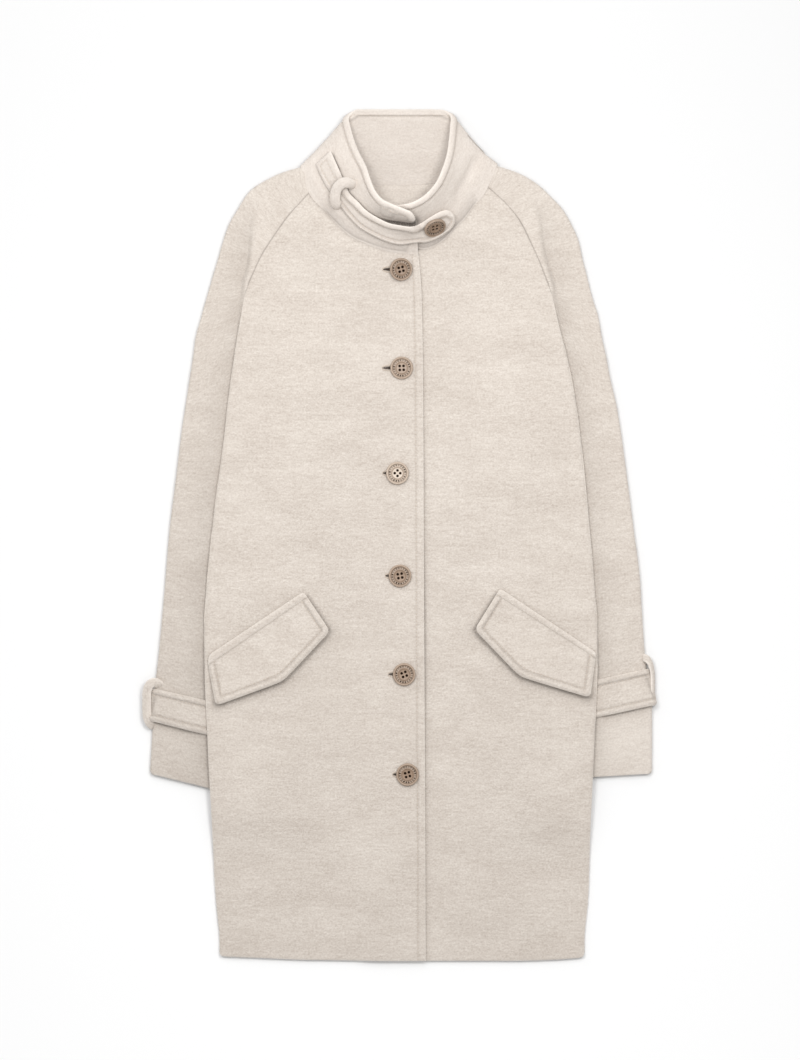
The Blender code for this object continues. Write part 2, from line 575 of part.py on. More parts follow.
def add_flap(name, corners, panel):
    """A pointed flap lying on a front: four edges, the lower one with its point."""
    outer, inner = np.array(corners["seam"], float)
    seam = np.linspace(outer, inner, FLAP_COLUMNS + 1)
    half = FLAP_COLUMNS // 2
    first = np.linspace(corners["outer"], corners["point"], half + 1)
    second = np.linspace(corners["point"], corners["inner"], half + 1)
    lower = np.concatenate([first, second[1:]])
    plan = patch(lower, seam, np.linspace(lower[0], seam[0], FLAP_ROWS + 1),
                 np.linspace(lower[-1], seam[-1], FLAP_ROWS + 1))
    height = on_panel(plan, panel) + CLOTH / 2 + FLAP_GAP + FLAP_WALL / 2
    add_sheet(name, np.concatenate([plan, height[..., None]], axis=-1), FLAP_WALL, wool["pocket"])


def add_welt(name, upper, seam, panel):
    """The narrow strip above a flap."""
    upper = np.linspace(*np.array(upper, float), FLAP_COLUMNS + 1)
    seam = np.linspace(*np.array(seam, float), FLAP_COLUMNS + 1)
    away = (upper - seam) / np.linalg.norm(upper - seam, axis=1, keepdims=True)
    plan = np.stack([seam + away * SEAM_GAP * 1.5, (seam + upper) / 2, upper])
    height = on_panel(plan, panel) + CLOTH / 2 + FLAP_GAP + CLOTH / 2
    add_sheet(name, np.concatenate([plan, height[..., None]], axis=-1), CLOTH, wool["pocket"])


right_panel = with_height(right_plan, right_front_height)
left_panel = with_height(left_plan, front_height)
add_flap("pocket_flap_right", FLAP_RIGHT, right_panel)
add_flap("pocket_flap_left", FLAP_LEFT, left_panel)
add_welt("pocket_welt_right", WELT_RIGHT, FLAP_RIGHT["seam"], right_panel)
add_welt("pocket_welt_left", WELT_LEFT, FLAP_LEFT["seam"], left_panel)


def sections_at(table, outer_heights):
    """Sleeve sections between those of the table, named by the height where they meet the outer fold."""
    data = np.array(table, float)[::-1]
    return np.array([[np.interp(y, data[:, 3], data[:, column]) for column in range(data.shape[1])]
                     for y in outer_heights])


def off_sleeve(table, outer_heights, upper, fold, off):
    """Points that stand off a sleeve's outside, section by section."""
    middle = sleeve_sheet(sections_at(table, outer_heights), upper, fold, [])
    out = out_of(middle)
    if out[0, 0, 2] < 0:
        out = -out
    return middle + out * np.asarray(off)[..., None]


lay = CLOTH / 2 + SEAM_GAP + STRAP_WALL / 2
strap_upper = np.linspace(CUFF_STRAP_INSIDE, 0.95, 4)
strap_fold = [0, 30, 60, 90, CUFF_STRAP_TURN]
loop_share = np.array([row[0] for row in CUFF_LOOP])
loop_rise = np.array([[row[1]] for row in CUFF_LOOP])
for side, table, ends, loop_ends in (("right", SLEEVE_RIGHT, CUFF_STRAP_RIGHT, CUFF_LOOP_RIGHT),
                                     ("left", SLEEVE_LEFT, CUFF_STRAP_LEFT, CUFF_LOOP_LEFT)):
    heights = np.linspace(ends["upper"], ends["lower"], 5)
    add_sheet("cuff_strap_" + side, off_sleeve(table, heights, strap_upper, strap_fold, lay), STRAP_WALL,
              wool["strap"])
    heights = loop_ends["upper"] + (loop_ends["lower"] - loop_ends["upper"]) * loop_share
    add_sheet("cuff_loop_" + side, off_sleeve(table, heights, [], CUFF_LOOP_TURNS,
                                                 lay + loop_rise * loop_ends["reach"]), STRAP_WALL, wool["strap"])


def make_button():
    """A turned four-hole button standing on the origin: its profile spun round, then drilled."""
    turned = bmesh.new()
    profile = [turned.verts.new((r * BUTTON_WIDTH / 2 * MM, 0, h * BUTTON_HEIGHT * MM)) for r, h in BUTTON_PROFILE]
    edges = [turned.edges.new(pair) for pair in zip(profile[:-1], profile[1:])]
    bmesh.ops.spin(turned, geom=profile + edges, cent=(0, 0, 0), axis=(0, 0, 1), angle=2 * math.pi,
                   steps=BUTTON_SIDES, use_merge=True)
    bmesh.ops.remove_doubles(turned, verts=turned.verts, dist=1e-6)
    bmesh.ops.recalc_face_normals(turned, faces=turned.faces)
    mesh = bpy.data.meshes.new("button blank")
    turned.to_mesh(mesh)
    turned.free()
    blank = bpy.data.objects.new("button blank", mesh)
    bpy.context.scene.collection.objects.link(blank)
    drills = bmesh.new()
    for x in (-1, 1):
        for y in (-1, 1):
            made = bmesh.ops.create_cone(drills, cap_ends=True, segments=8, radius1=BUTTON_HOLE_WIDTH / 2 * MM,
                                         radius2=BUTTON_HOLE_WIDTH / 2 * MM, depth=4 * BUTTON_HEIGHT * MM)
            bmesh.ops.translate(drills, verts=made["verts"], vec=(x * BUTTON_HOLE_PITCH / 2 * MM,
                                                                  y * BUTTON_HOLE_PITCH / 2 * MM, 0))
    mesh = bpy.data.meshes.new("drills")
    drills.to_mesh(mesh)
    drills.free()
    cutter = bpy.data.objects.new("drills", mesh)
    bpy.context.scene.collection.objects.link(cutter)
    cut = blank.modifiers.new("holes", "BOOLEAN")
    cut.operation = "DIFFERENCE"
    cut.object = cutter
    cut.solver = "EXACT"
    bpy.context.view_layer.update()
    done = bpy.data.meshes.new_from_object(blank.evaluated_get(bpy.context.evaluated_depsgraph_get()))
    bpy.data.objects.remove(blank, do_unlink=True)
    bpy.data.objects.remove(cutter, do_unlink=True)
    return done


def put_button(name, centre, axis):
    """A copy of the button standing at a centre (in mm), turned to face along an axis."""
    mesh = button_mesh.copy()
    turn = Vector((0, 0, 1)).rotation_difference(Vector(axis)).to_matrix().to_4x4()
    mesh.transform(Matrix.Translation(Vector(centre) * MM) @ turn)
    mesh.materials.clear()
    mesh.materials.append(horn)
    thing = bpy.data.objects.new(name, mesh)
    bpy.context.scene.collection.objects.link(thing)


button_mesh = make_button()
for number, (x, y, lean_x, lean_y) in enumerate(BUTTONS, 1):
    axis = (math.sin(math.radians(lean_x)), -math.sin(math.radians(lean_y)), 1)
    lean = max(abs(lean_x), abs(lean_y))
    base = right_front_height(np.array(float(x)), np.array(float(y))) + CLOTH / 2 + SEAM_GAP
    base += BUTTON_WIDTH / 2 * 0.72 * math.sin(math.radians(lean)) * 1.3
    put_button(f"button_{number}", (x, y, float(base)), axis)

row = int(STRAP_BUTTON_ROW)
part = STRAP_BUTTON_ROW - row
middle = strap[row:row + 2].mean(axis=1)
centre = middle[0] + (middle[1] - middle[0]) * part
axis = np.cross(strap[row, -1] - strap[row, 0], strap[row + 1].mean(axis=0) - strap[row].mean(axis=0))
axis /= np.linalg.norm(axis)
if axis[2] < 0:
    axis = -axis
put_button("collar_button", tuple(centre + axis * (STRAP_WALL / 2 + STRAP_REST)), tuple(axis))

# Buttonholes: slits through the right front from below each button outwards.
slits = bmesh.new()
for x, y, lean_x, lean_y in BUTTONS:
    box = bmesh.ops.create_cube(slits, size=1.0)["verts"]
    bmesh.ops.scale(slits, verts=box, vec=(BUTTONHOLE_LENGTH * MM, BUTTONHOLE_WIDTH * MM, 30 * MM))
    bmesh.ops.translate(slits, verts=box, vec=((x - BUTTONHOLE_REACH + BUTTONHOLE_LENGTH / 2) * MM, y * MM, 10 * MM))
mesh = bpy.data.meshes.new("buttonhole cutters")
slits.to_mesh(mesh)
slits.free()
cutters = bpy.data.objects.new("buttonhole cutters", mesh)
bpy.context.scene.collection.objects.link(cutters)
cutters.hide_render = True
cutters.display_type = "WIRE"
cut = front_right.modifiers.new("buttonholes", "BOOLEAN")
cut.operation = "DIFFERENCE"
cut.object = cutters
cut.solver = "EXACT"
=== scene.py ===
# %% [markdown]
# A felted wool coat lies flat on its back on a pale floor, its sleeves tucked behind its sides. The
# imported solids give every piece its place. Here each piece of cloth is made again as a soft shell on the
# same form, with rounded edges, topstitching, a nap and the streaks of its mixed yarn, and the buttons
# are turned. Lengths below are in millimetres, because that is how a maker measures a coat, and become
# metres in the meshes.

# %% frame and units
import math

import bpy
import numpy as np
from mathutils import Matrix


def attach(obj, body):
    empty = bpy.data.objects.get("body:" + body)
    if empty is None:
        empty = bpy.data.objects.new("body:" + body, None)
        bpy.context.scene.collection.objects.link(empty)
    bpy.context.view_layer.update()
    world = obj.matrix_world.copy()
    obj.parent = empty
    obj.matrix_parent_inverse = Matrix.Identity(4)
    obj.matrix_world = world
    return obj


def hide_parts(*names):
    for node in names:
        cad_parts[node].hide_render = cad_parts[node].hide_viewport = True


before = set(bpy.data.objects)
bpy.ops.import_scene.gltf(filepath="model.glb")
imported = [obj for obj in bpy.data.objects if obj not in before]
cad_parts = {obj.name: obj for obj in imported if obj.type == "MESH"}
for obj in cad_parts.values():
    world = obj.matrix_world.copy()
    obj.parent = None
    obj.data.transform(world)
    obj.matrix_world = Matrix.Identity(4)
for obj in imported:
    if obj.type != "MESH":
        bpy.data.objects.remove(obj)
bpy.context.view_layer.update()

MM = 0.001

# %% [markdown]
# The photograph looks straight down from far off, so the camera hangs high above the coat with a long
# lens. One millimetre of floor is the same part of the picture everywhere, and only the standing collar
# shows its depth.

# %% camera
CAMERA_HEIGHT = 5.0
PICTURE_LENGTH = 1.272      # metres of floor from the picture's top to its bottom
PICTURE_CENTRE = (0.0, 0.006)

lens = bpy.data.cameras.new("camera")
lens.lens = lens.sensor_width * CAMERA_HEIGHT / PICTURE_LENGTH
camera = bpy.data.objects.new("camera", lens)
camera.location = (*PICTURE_CENTRE, CAMERA_HEIGHT)
bpy.context.scene.collection.objects.link(camera)
bpy.context.scene.camera = camera
bpy.context.scene.view_settings.view_transform = "Standard"
print("lens:", round(lens.lens, 1), "mm")

# %% [markdown]
# Materials are small networks of nodes. One function turns an sRGB hex colour, as a painter writes it,
# into the linear light that the renderer works in, and one adds a node with its settings and its links.

# %% colours and nodes
MIX = {"data_type": "RGBA"}         # settings of a node that mixes two colours


def linear(code):
    """Linear light of an sRGB hex colour: each channel's share c becomes ((c + 0.055) / 1.055)^2.4."""
    share = np.array([int(code[i:i + 2], 16) for i in (1, 3, 5)]) / 255
    light = np.where(share <= 0.04045, share / 12.92, ((share + 0.055) / 1.055) ** 2.4)
    return (*light.tolist(), 1.0)


def add_node(tree, kind, settings, inputs):
    """Add a node, set its properties, then link each input that is given a socket and fill in the others."""
    made = tree.nodes.new("ShaderNode" + kind)
    for name, value in settings.items():
        setattr(made, name, value)
    for name, value in inputs.items():
        if isinstance(value, bpy.types.NodeSocket):
            tree.links.new(value, made.inputs[name])
        else:
            made.inputs[name].default_value = value
    return made


def new_material(name, constants):
    """A material with its tree and its shader, whose own sockets take the constants."""
    material = bpy.data.materials.new(name)
    material.use_nodes = True
    shader = material.node_tree.nodes["Principled BSDF"]
    for socket, value in constants.items():
        shader.inputs[socket].default_value = value
    return material, material.node_tree, shader


# %% [markdown]
# Felted wool is carded from fibres of several shades, so short pale and brown streaks run along the weft,
# and the milled and brushed surface is a mat of fibres with no shine but a soft glow at grazing angles.
# Each piece carries a map called grain, in metres, with the weft along its first axis. Noise stretched
# along the weft gives the streaks, rounder noise the flecks and clouds, and the same noise lifts the nap
# as bump. Edges are painted paler, a painted highlight where loose fibres catch the light, and seams,
# grooves and spots that little light reaches are painted darker, a painted shade. The collar's pieces
# are pressed when they are sewn, so their nap lies smoother and their streaks show less; their wool is
# also painted a little paler, partly a painted light for the stronger light round the collar.

# %% felted wool
PATTERNS = [
    # length, width, detail, share
    (19, 3.6, 2.0, 0.44),       # streaks of one shade
    (6.5, 2.8, 1.0, 0.50),      # short flecks
    (75, 30, 2.0, 0.50),        # broad clouds where the fibres are mixed less well
    (2.3, 1.9, 1.0, 0.85),      # nap, drawn coarser than its fibres are so that it shows
]
WOOL_FINISH = {"Roughness": 0.95, "Specular IOR Level": 0.1, "Sheen Weight": 0.3, "Sheen Roughness": 0.6,
               "Sheen Tint": linear("#FFF8F0")}
MARKS = {"edge": "#F3ECE4", "slit_and_painted_shade": "#40362F"}      # painted highlight and painted shade that the marked spots of a piece turn to
NAP_HEIGHT = 0.8


def felted_wool(name, pale, brown, relief):
    """Wool between a pale and a brown colour: a half plus each noise, less its mean, times its share."""
    material, tree, shader = new_material(name, WOOL_FINISH)
    grain = add_node(tree, "UVMap", {"uv_map": "grain"}, {}).outputs["UV"]
    total, noises = 0.5 - 0.5 * sum(row[-1] for row in PATTERNS), []
    for long, wide, detail, share in PATTERNS:
        fineness = (1 / (long * MM), 1 / (wide * MM), 1.0)
        place = add_node(tree, "Mapping", {}, {"Vector": grain, "Scale": fineness}).outputs["Vector"]
        look = {"Vector": place, "Scale": 1.0, "Detail": detail, "Roughness": 0.55, "Distortion": 0.3}
        noises.append(add_node(tree, "TexNoise", {"noise_dimensions": "2D"}, look).outputs["Fac"])
        sums = {0: noises[-1], 1: share, 2: total}
        total = add_node(tree, "Math", {"operation": "MULTIPLY_ADD"}, sums).outputs[0]
    shade = add_node(tree, "Mix", MIX, {0: total, 6: linear(pale), 7: linear(brown)}).outputs[2]
    for mark, colour in MARKS.items():
        amount = add_node(tree, "Attribute", {"attribute_name": mark}, {}).outputs["Fac"]
        shade = add_node(tree, "Mix", MIX, {0: amount, 6: shade, 7: linear(colour)}).outputs[2]
    lift = add_node(tree, "Math", {"operation": "ADD"}, {0: noises[1], 1: noises[3]}).outputs[0]
    bump = add_node(tree, "Bump", {}, {"Strength": relief, "Distance": NAP_HEIGHT * MM, "Height": lift})
    tree.links.new(shade, shader.inputs["Base Color"])
    tree.links.new(bump.outputs["Normal"], shader.inputs["Normal"])
    return material


wool = felted_wool("felted wool, milled and brushed", "#D6CEC5", "#B2A79D", 0.45)
# the collar's wool: pressed smoother, and painted a little paler, partly a painted light for the stronger
# light round the collar
pressed_and_lit_wool = felted_wool("felted wool, milled and pressed smooth", "#D8D0C8", "#C0B6AD", 0.25)
print("made:", wool.name, "and", pressed_and_lit_wool.name)

# %% [markdown]
# Every edge, seam and section of the coat is a smooth line through a few measured points. Two kinds of
# cubic are used: one that never overshoots its points, for heights and outlines that must not bulge, and
# one that rounds them, for the collar's curl.

# %% smooth lines
def smooth_through(keys, values, at):
    """Cubic through (key, value) rows with harmonic means of neighbouring slopes, so it never overshoots."""
    keys = np.asarray(keys, float)
    values = np.asarray(values, float).reshape(len(keys), -1)
    at = np.clip(np.asarray(at, float), keys[0], keys[-1])
    step = np.diff(keys)[:, None]
    rate = np.diff(values, axis=0) / step
    slope = np.concatenate([rate[:1], np.zeros_like(rate[1:]), rate[-1:]])
    before, after = rate[:-1], rate[1:]
    same = before * after > 0
    early = 2 * step[1:] + step[:-1]
    late = step[1:] + 2 * step[:-1]
    mean = (early + late) / (early / np.where(same, before, 1) + late / np.where(same, after, 1))
    slope[1:-1] = np.where(same, mean, 0)
    return cubic(keys, values, slope, at)


def round_through(keys, values, at):
    """Cubic through (key, value) rows with the slopes of the parabola through each three neighbours."""
    keys = np.asarray(keys, float)
    values = np.asarray(values, float).reshape(len(keys), -1)
    step = np.diff(keys)[:, None]
    rate = np.diff(values, axis=0) / step
    slope = np.empty_like(values)
    slope[1:-1] = (rate[:-1] * step[1:] + rate[1:] * step[:-1]) / (step[:-1] + step[1:])
    slope[0] = 2 * rate[0] - slope[1]
    slope[-1] = 2 * rate[-1] - slope[-2]
    return cubic(keys, values, slope, np.asarray(at, float))


def cubic(keys, values, slope, at):
    """Cubic: ends times 2t^3 - 3t^2 + 1 and 3t^2 - 2t^3, slopes times t^3 - 2t^2 + t and t^3 - t^2."""
    i = np.clip(np.searchsorted(keys, at, side="right") - 1, 0, len(keys) - 2)
    h = np.diff(keys)[i][..., None]
    t = (at - keys[i])[..., None] / h
    out = ((2 * t**3 - 3 * t**2 + 1) * values[i] + (t**3 - 2 * t**2 + t) * h * slope[i]
           + (3 * t**2 - 2 * t**3) * values[i + 1] + (t**3 - t**2) * h * slope[i + 1])
    return out[..., 0] if out.shape[-1] == 1 else out


def look_up(table, at):
    """The later columns of a table at values of its first one, each as the smooth line through its rows."""
    table = np.array(table, float)
    columns = smooth_through(table[:, 0], table[:, 1:], at)
    return columns if table.shape[1] == 2 else np.moveaxis(columns, -1, 0)


def smooth_step(value, start, end):
    """0 before start, 1 after end, 3t^2 - 2t^3 between."""
    t = np.clip((value - start) / (end - start), 0, 1)
    return t * t * (3 - 2 * t)


def bell(distance, width):
    """1 at no distance and less on both sides of it: e^-(d/w)^2."""
    return np.exp(-((distance / width) ** 2))


def lengths(points):
    """How far along a line each of its points lies."""
    return np.concatenate([[0], np.cumsum(np.linalg.norm(np.diff(points, axis=0), axis=1))])


def along(points, share):
    """Points at shares of the length of the smooth line through some points."""
    points = np.asarray(points, float)
    length = lengths(points)
    return smooth_through(length / length[-1], points, share)


def unit(vectors):
    """Vectors of length one."""
    return vectors / np.linalg.norm(vectors, axis=-1, keepdims=True)


# %% [markdown]
# A cloth piece is one closed skin: a middle surface moved out on one side and in on the other, with both
# sides meeting in the rim's points. The wall swells from nothing at the rim as a quarter of an ellipse,
# which rounds every edge the way felted wool rolls. Grid lines lie close together near the rim and wide
# apart inside.

# %% cloth shells: their grids
WALL = 2.5                  # thickness of the wool cloth
SEAM_RIM = np.array([0, 0.12, 0.45, 0.95, 1.6, 2.6, 4.2, 6.5, 9.5])
STITCH_LINE = 12            # number of the grid line that a row of stitches lies on, counted from a sewn rim


def sewn_rim(stitch):
    """Grid lines in from a topstitched edge: close at the rim and round the stitches, even between."""
    return np.concatenate([[0, 0.12, 0.45, 0.95, 1.6, 2.4], np.linspace(3.3, stitch - 1.9, 4),
                           stitch + np.array([-1.2, -0.6, 0, 0.6, 1.2, 2.4])])


def spaced(width, start, end, count):
    """Places across a width: set distances in from both sides, squeezed to fit, even steps between."""
    width = np.asarray(width, float)[:, None]
    squeeze = np.minimum(1, width / (1.15 * (start[-1] + end[-1])))
    first = start * squeeze
    last = width - end[::-1] * squeeze
    middle = first[:, -1:] + (last[:, :1] - first[:, -1:]) * np.linspace(0, 1, count + 2)[1:-1]
    return np.concatenate([first, middle, last], axis=1)


def distance_to(points, line):
    """Distance of points to a line of straight bits: to the nearest spot of the nearest bit."""
    start, way = line[:-1], np.diff(line, axis=0)
    flat = points.reshape(-1, points.shape[-1])
    nearest = []
    for part in np.array_split(flat, len(flat) // 3000 + 1):
        share = np.clip(((part[:, None] - start) * way).sum(-1) / np.maximum((way**2).sum(-1), 1e-9), 0, 1)
        nearest.append(np.linalg.norm(part[:, None] - start - share[..., None] * way, axis=2).min(axis=1))
    return np.concatenate(nearest).reshape(points.shape[:-1])


def away_from(places, line):
    """Distance of places to the smooth line through some points."""
    return distance_to(places, along(line, np.linspace(0, 1, 90)))


def rim_of(grid):
    """Points all round a grid."""
    return np.concatenate([grid[0], grid[:, -1], grid[-1, ::-1], grid[::-1, 0]])


def girths(grid):
    """How far along its row each point of a grid lies."""
    return np.cumsum(np.linalg.norm(np.diff(grid, axis=1, prepend=grid[:, :1]), axis=2), axis=1)


def out_of(grid):
    """Unit normals of a grid: the cross product of its two directions."""
    return unit(np.cross(np.gradient(grid, axis=1), np.gradient(grid, axis=0)))


# %% cloth shells: their relief
GROOVE = 1.45               # half width of the groove along a row of stitches


def rounded(distance, radius):
    """Quarter of an ellipse: 0 on the rim, 1 from the radius inwards."""
    inside = np.clip(distance / radius, 0, 1)
    return np.sqrt(1 - (1 - inside) ** 2)


def groove(distance, at):
    """Bell across the line where a row of stitches pulls the cloth in."""
    return bell(distance - at, GROOVE)


def stitched(distance, at, depth, swell):
    """Relief of a topstitched edge: a swelling between edge and thread, a dip where the thread pulls."""
    return swell * bell(distance - 0.52 * at, 0.36 * at) - depth * groove(distance, at)


def seam_dip(distance):
    """Share of the wall that is left above a seam: a soft valley in which the seam pulls the cloth down."""
    return 1 - 0.5 * bell(distance, 1.4)


def seam_shade(distance):
    """Painted shade in a seam: a bell under a millimetre wide."""
    return 0.42 * bell(distance, 0.8)


# %% cloth shells: their meshes
EDGE_GLOW = 0.55            # how much paler a thin edge of cloth is painted, a painted highlight
UP = np.array([0.0, 0.0, 1.0])
shells = {}                 # every cloth piece with its points, its faces and its grain map


def add_mesh(name, points, faces, material, grain=None, marks=None):
    """Object at the origin from points in millimetres, with its grain map and its marked spots."""
    mesh = bpy.data.meshes.new(name)
    mesh.vertices.add(len(points))
    mesh.vertices.foreach_set("co", (np.asarray(points) * MM).astype(np.float32).ravel())
    mesh.loops.add(faces.size)
    mesh.loops.foreach_set("vertex_index", faces.astype(np.int32).ravel())
    mesh.polygons.add(len(faces))
    mesh.polygons.foreach_set("loop_start", np.arange(0, faces.size, faces.shape[1], dtype=np.int32))
    mesh.update(calc_edges=True)
    mesh.polygons.foreach_set("use_smooth", np.ones(len(faces), bool))
    if grain is not None:
        layer = mesh.uv_layers.new(name="grain")
        layer.data.foreach_set("uv", (grain[faces.ravel()] * MM).astype(np.float32).ravel())
    for title, value in (marks or {}).items():
        spots = mesh.attributes.new(title, "FLOAT", "POINT")
        spots.data.foreach_set("value", value.astype(np.float32).ravel())
    mesh.materials.append(material)
    thing = bpy.data.objects.new(name, mesh)
    bpy.context.scene.collection.objects.link(thing)
    return thing


def quads(index):
    """Corners of the squares of a grid of point numbers."""
    return np.stack([index[:-1, :-1], index[:-1, 1:], index[1:, 1:], index[1:, :-1]], axis=-1).reshape(-1, 4)


def add_shell(name, middle, out, above, below, grain, material, slit_and_painted_shade=None, edge=None):
    """Closed skin of a cloth piece: middle + out * above on one side, middle - out * below on the other."""
    rows, columns = middle.shape[:2]
    upper = np.arange(rows * columns).reshape(rows, columns)
    lower = upper.copy()
    lower[1:-1, 1:-1] = rows * columns + np.arange((rows - 2) * (columns - 2)).reshape(rows - 2, columns - 2)
    inner = (slice(1, -1), slice(1, -1))
    points = np.concatenate([(middle + out * above[..., None]).reshape(-1, 3),
                             (middle - out * below[..., None])[inner].reshape(-1, 3)])
    maps = np.concatenate([grain.reshape(-1, 2), grain[inner].reshape(-1, 2)])
    # painted shade: colour darkened where little light reaches, in seams, grooves, slits and beside other
    # parts
    painted_shade = np.zeros((rows, columns)) if slit_and_painted_shade is None else slit_and_painted_shade
    # painted highlight: thin edges painted paler
    painted_edge_highlight = EDGE_GLOW * (1 - np.clip(below / below.max(), 0, 1) if edge is None else edge)
    marks = {"slit_and_painted_shade": np.concatenate([painted_shade.ravel(), painted_shade[inner].ravel()]),
             "edge": np.concatenate([painted_edge_highlight.ravel(), painted_edge_highlight[inner].ravel()])}
    faces = np.concatenate([quads(upper), quads(lower)[:, ::-1]])
    thing = add_mesh(name, points, faces, material, maps, marks)
    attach(thing, "root")
    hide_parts(name.replace("cloth_", ""))
    shells[name] = (thing, points, faces, maps)
    print(name, len(faces) * 2, "triangles")


def level_shell(name, plan, height, above, below, shade=None, edge=None):
    """A cloth piece that lies level: its plan, the height of its middle and its walls, turned to face up."""
    if np.cross(plan[0, 1] - plan[0, 0], plan[1, 0] - plan[0, 0]) < 0:
        plan, height, above, below, shade = (part[:, ::-1] for part in (plan, height, above, below, shade))
    middle = np.concatenate([plan, height[..., None]], axis=-1)
    add_shell(name, middle, UP, above, below, plan, wool, shade, edge)


# %% [markdown]
# The body is three panels: a back on the floor and two fronts on it, the right one over the left. Their
# outlines are read off the photograph at 1.2 mm a pixel. Right and left are the wearer's.

# %% outlines of the body
SIDE_EDGES = [
    # y, x of the right side, x of the left side
    (-485, -216.5, 221.3), (-438, -220.8, 225.6), (-342, -225.6, 228.6), (-246, -230.4, 232.8),
    (-150, -234.0, 236.4), (-110, -234.6, 236.4), (-70, -232.3, 233.6), (18, -223.8, 226.2),
    (114, -211.2, 216.6), (162, -205.8, 210.0), (210, -199.2, 201.0), (250, -192.5, 190.5),
    (290, -185.6, 181.5),
]
SIDE_RIGHT = [(row[1], row[0]) for row in SIDE_EDGES]
SIDE_LEFT = [(row[2], row[0]) for row in SIDE_EDGES]
HEM = [
    (-216.5, -500), (-215.4, -503), (-212, -505), (-197, -505.8), (-174, -506.8), (-96, -509.5),
    (31, -510.5), (120, -510.5), (180, -509.3), (205, -507.8), (214, -507), (218.5, -505.8),
    (220.6, -503.5), (221.3, -500),
]
UNDERARM = 290
RAGLAN_RIGHT = [(-185.6, 290), (-178, 309), (-166, 335), (-150, 360), (-131, 386), (-109, 410)]
RAGLAN_LEFT = [
    (181.5, 290), (175, 307), (167, 328), (157, 350), (145, 374), (133, 391), (118, 406), (104, 418),
]
RAGLAN_BACK = [(-185.6, 290), (-178, 302), (-164, 323), (-144, 355), (-117, 393), (-84, 430)]
NECK_RIGHT = [
    (-109, 410), (-97, 396), (-84, 382), (-73, 371), (-58, 358.5), (-40, 350), (-19, 343), (-2, 340),
    (22, 338),
]
NECK_LEFT = [
    (-27, 345), (0, 344), (22, 342), (34, 345), (50, 354), (66, 370), (76, 379), (91, 401), (104, 418),
]
NECK_BACK = [(-84, 430), (-60, 424.5), (-30, 421), (0, 420), (30, 421), (60, 424.5), (84, 430)]
EDGE_RIGHT = [(31, -511), (30.5, -366), (29, -78), (28, 162), (26, 290), (24, 318), (22, 338)]
EDGE_LEFT = [(-24, -511), (-25, -366), (-26, -78), (-27, 162), (-27, 290), (-27, 318), (-27, 345)]


def x_on(edge, y):
    """Where an edge of x, y points lies at some heights."""
    return look_up([(point[1], point[0]) for point in edge], y)


# %% [markdown]
# The sleeves underneath lift the panels' sides, and the neck seam lifts the fronts towards the collar.

# %% heights of the body
GAP = 0.4                                    # between pieces sewn together
FLOOR_LAYER = WALL / 2                       # middle of a sheet that lies on the floor
FRONT_LAYER = FLOOR_LAYER + WALL + 0.8       # middle of a sheet that lies on it
OVERLAP_RISE = WALL + GAP
OVERLAP_CLIMB = (-58, -30)                   # where the right front climbs onto the left one
LIFT = [
    # y, full_x, clear_x, back_lift, front_lift
    (-511, 160, 60, 0.0, 0.0), (-400, 160, 60, 0.0, 0.0), (-328, 160, 60, 8.3, 8.3),
    (-268, 155, 55, 10.8, 10.8), (-160, 143, 45, 10.8, 10.8), (-110, 132, 35, 8.3, 8.3),
    (42, 118, 25, 8.3, 8.3), (162, 120, 25, 8.3, 8.3), (204, 140, 40, 8.3, 8.3), (248, 168, 60, 8.3, 8.6),
    (290, 176, 70, 0.0, 8.6), (335, 160, 60, 0.0, 5.6), (385, 130, 50, 0.0, 2.2),
    (420, 105, 40, 0.0, 0.4),
]
NECK_SHAPE = (110, 425, 86)                  # half width, centre and depth of the neck's oval
NECK_RISE, NECK_REACH = 3.5, 40


def lifts(x, y):
    """How far the sleeves lift the back and the front: a full lift outside full_x, none inside clear_x."""
    full_x, clear_x, back_lift, front_lift = look_up(LIFT, y)
    share = smooth_step(np.abs(x), clear_x, full_x)
    return share * back_lift, share * front_lift


def front_height(x, y):
    """Middle of a front: its layer, the sleeves' lift and a bell-shaped rise round the neck."""
    half, centre, depth = NECK_SHAPE
    away = np.clip(np.sqrt((x / half) ** 2 + ((y - centre) / depth) ** 2) - 1, 0, None) * depth
    return FRONT_LAYER + lifts(x, y)[1] + NECK_RISE * bell(away, NECK_REACH)


def right_front_height(x, y):
    """The right front climbs over the left one towards its free edge."""
    return front_height(x, y) + OVERLAP_RISE * smooth_step(x, *OVERLAP_CLIMB)


# %% [markdown]
# A laid-out coat is never quite flat. A few soft troughs follow what the photograph shows, and slow waves
# a hand's breadth long and under a millimetre high keep the light from lying evenly on it.

# %% drape of the cloth
CREASES = [
    # x0, y0, x1, y1, width, depth
    (-205, -215, -110, -330, 34, 1.0), (-60, -250, -95, -500, 30, 1.2), (120, -220, 190, -480, 40, 1.1),
    (60, -300, 90, -500, 26, 0.8), (-150, 250, -60, 180, 26, 0.7), (150, 240, 70, 160, 26, 0.7),
    (-185, 40, -120, -40, 24, 0.6), (190, 60, 120, -30, 24, 0.6), (-70, 330, -110, 250, 20, 0.6),
    (75, 330, 120, 250, 20, 0.6),
]
WAVES = 14
WAVE_LENGTH = (70, 220)
WAVE_HEIGHT = 0.0009        # of a wave's length


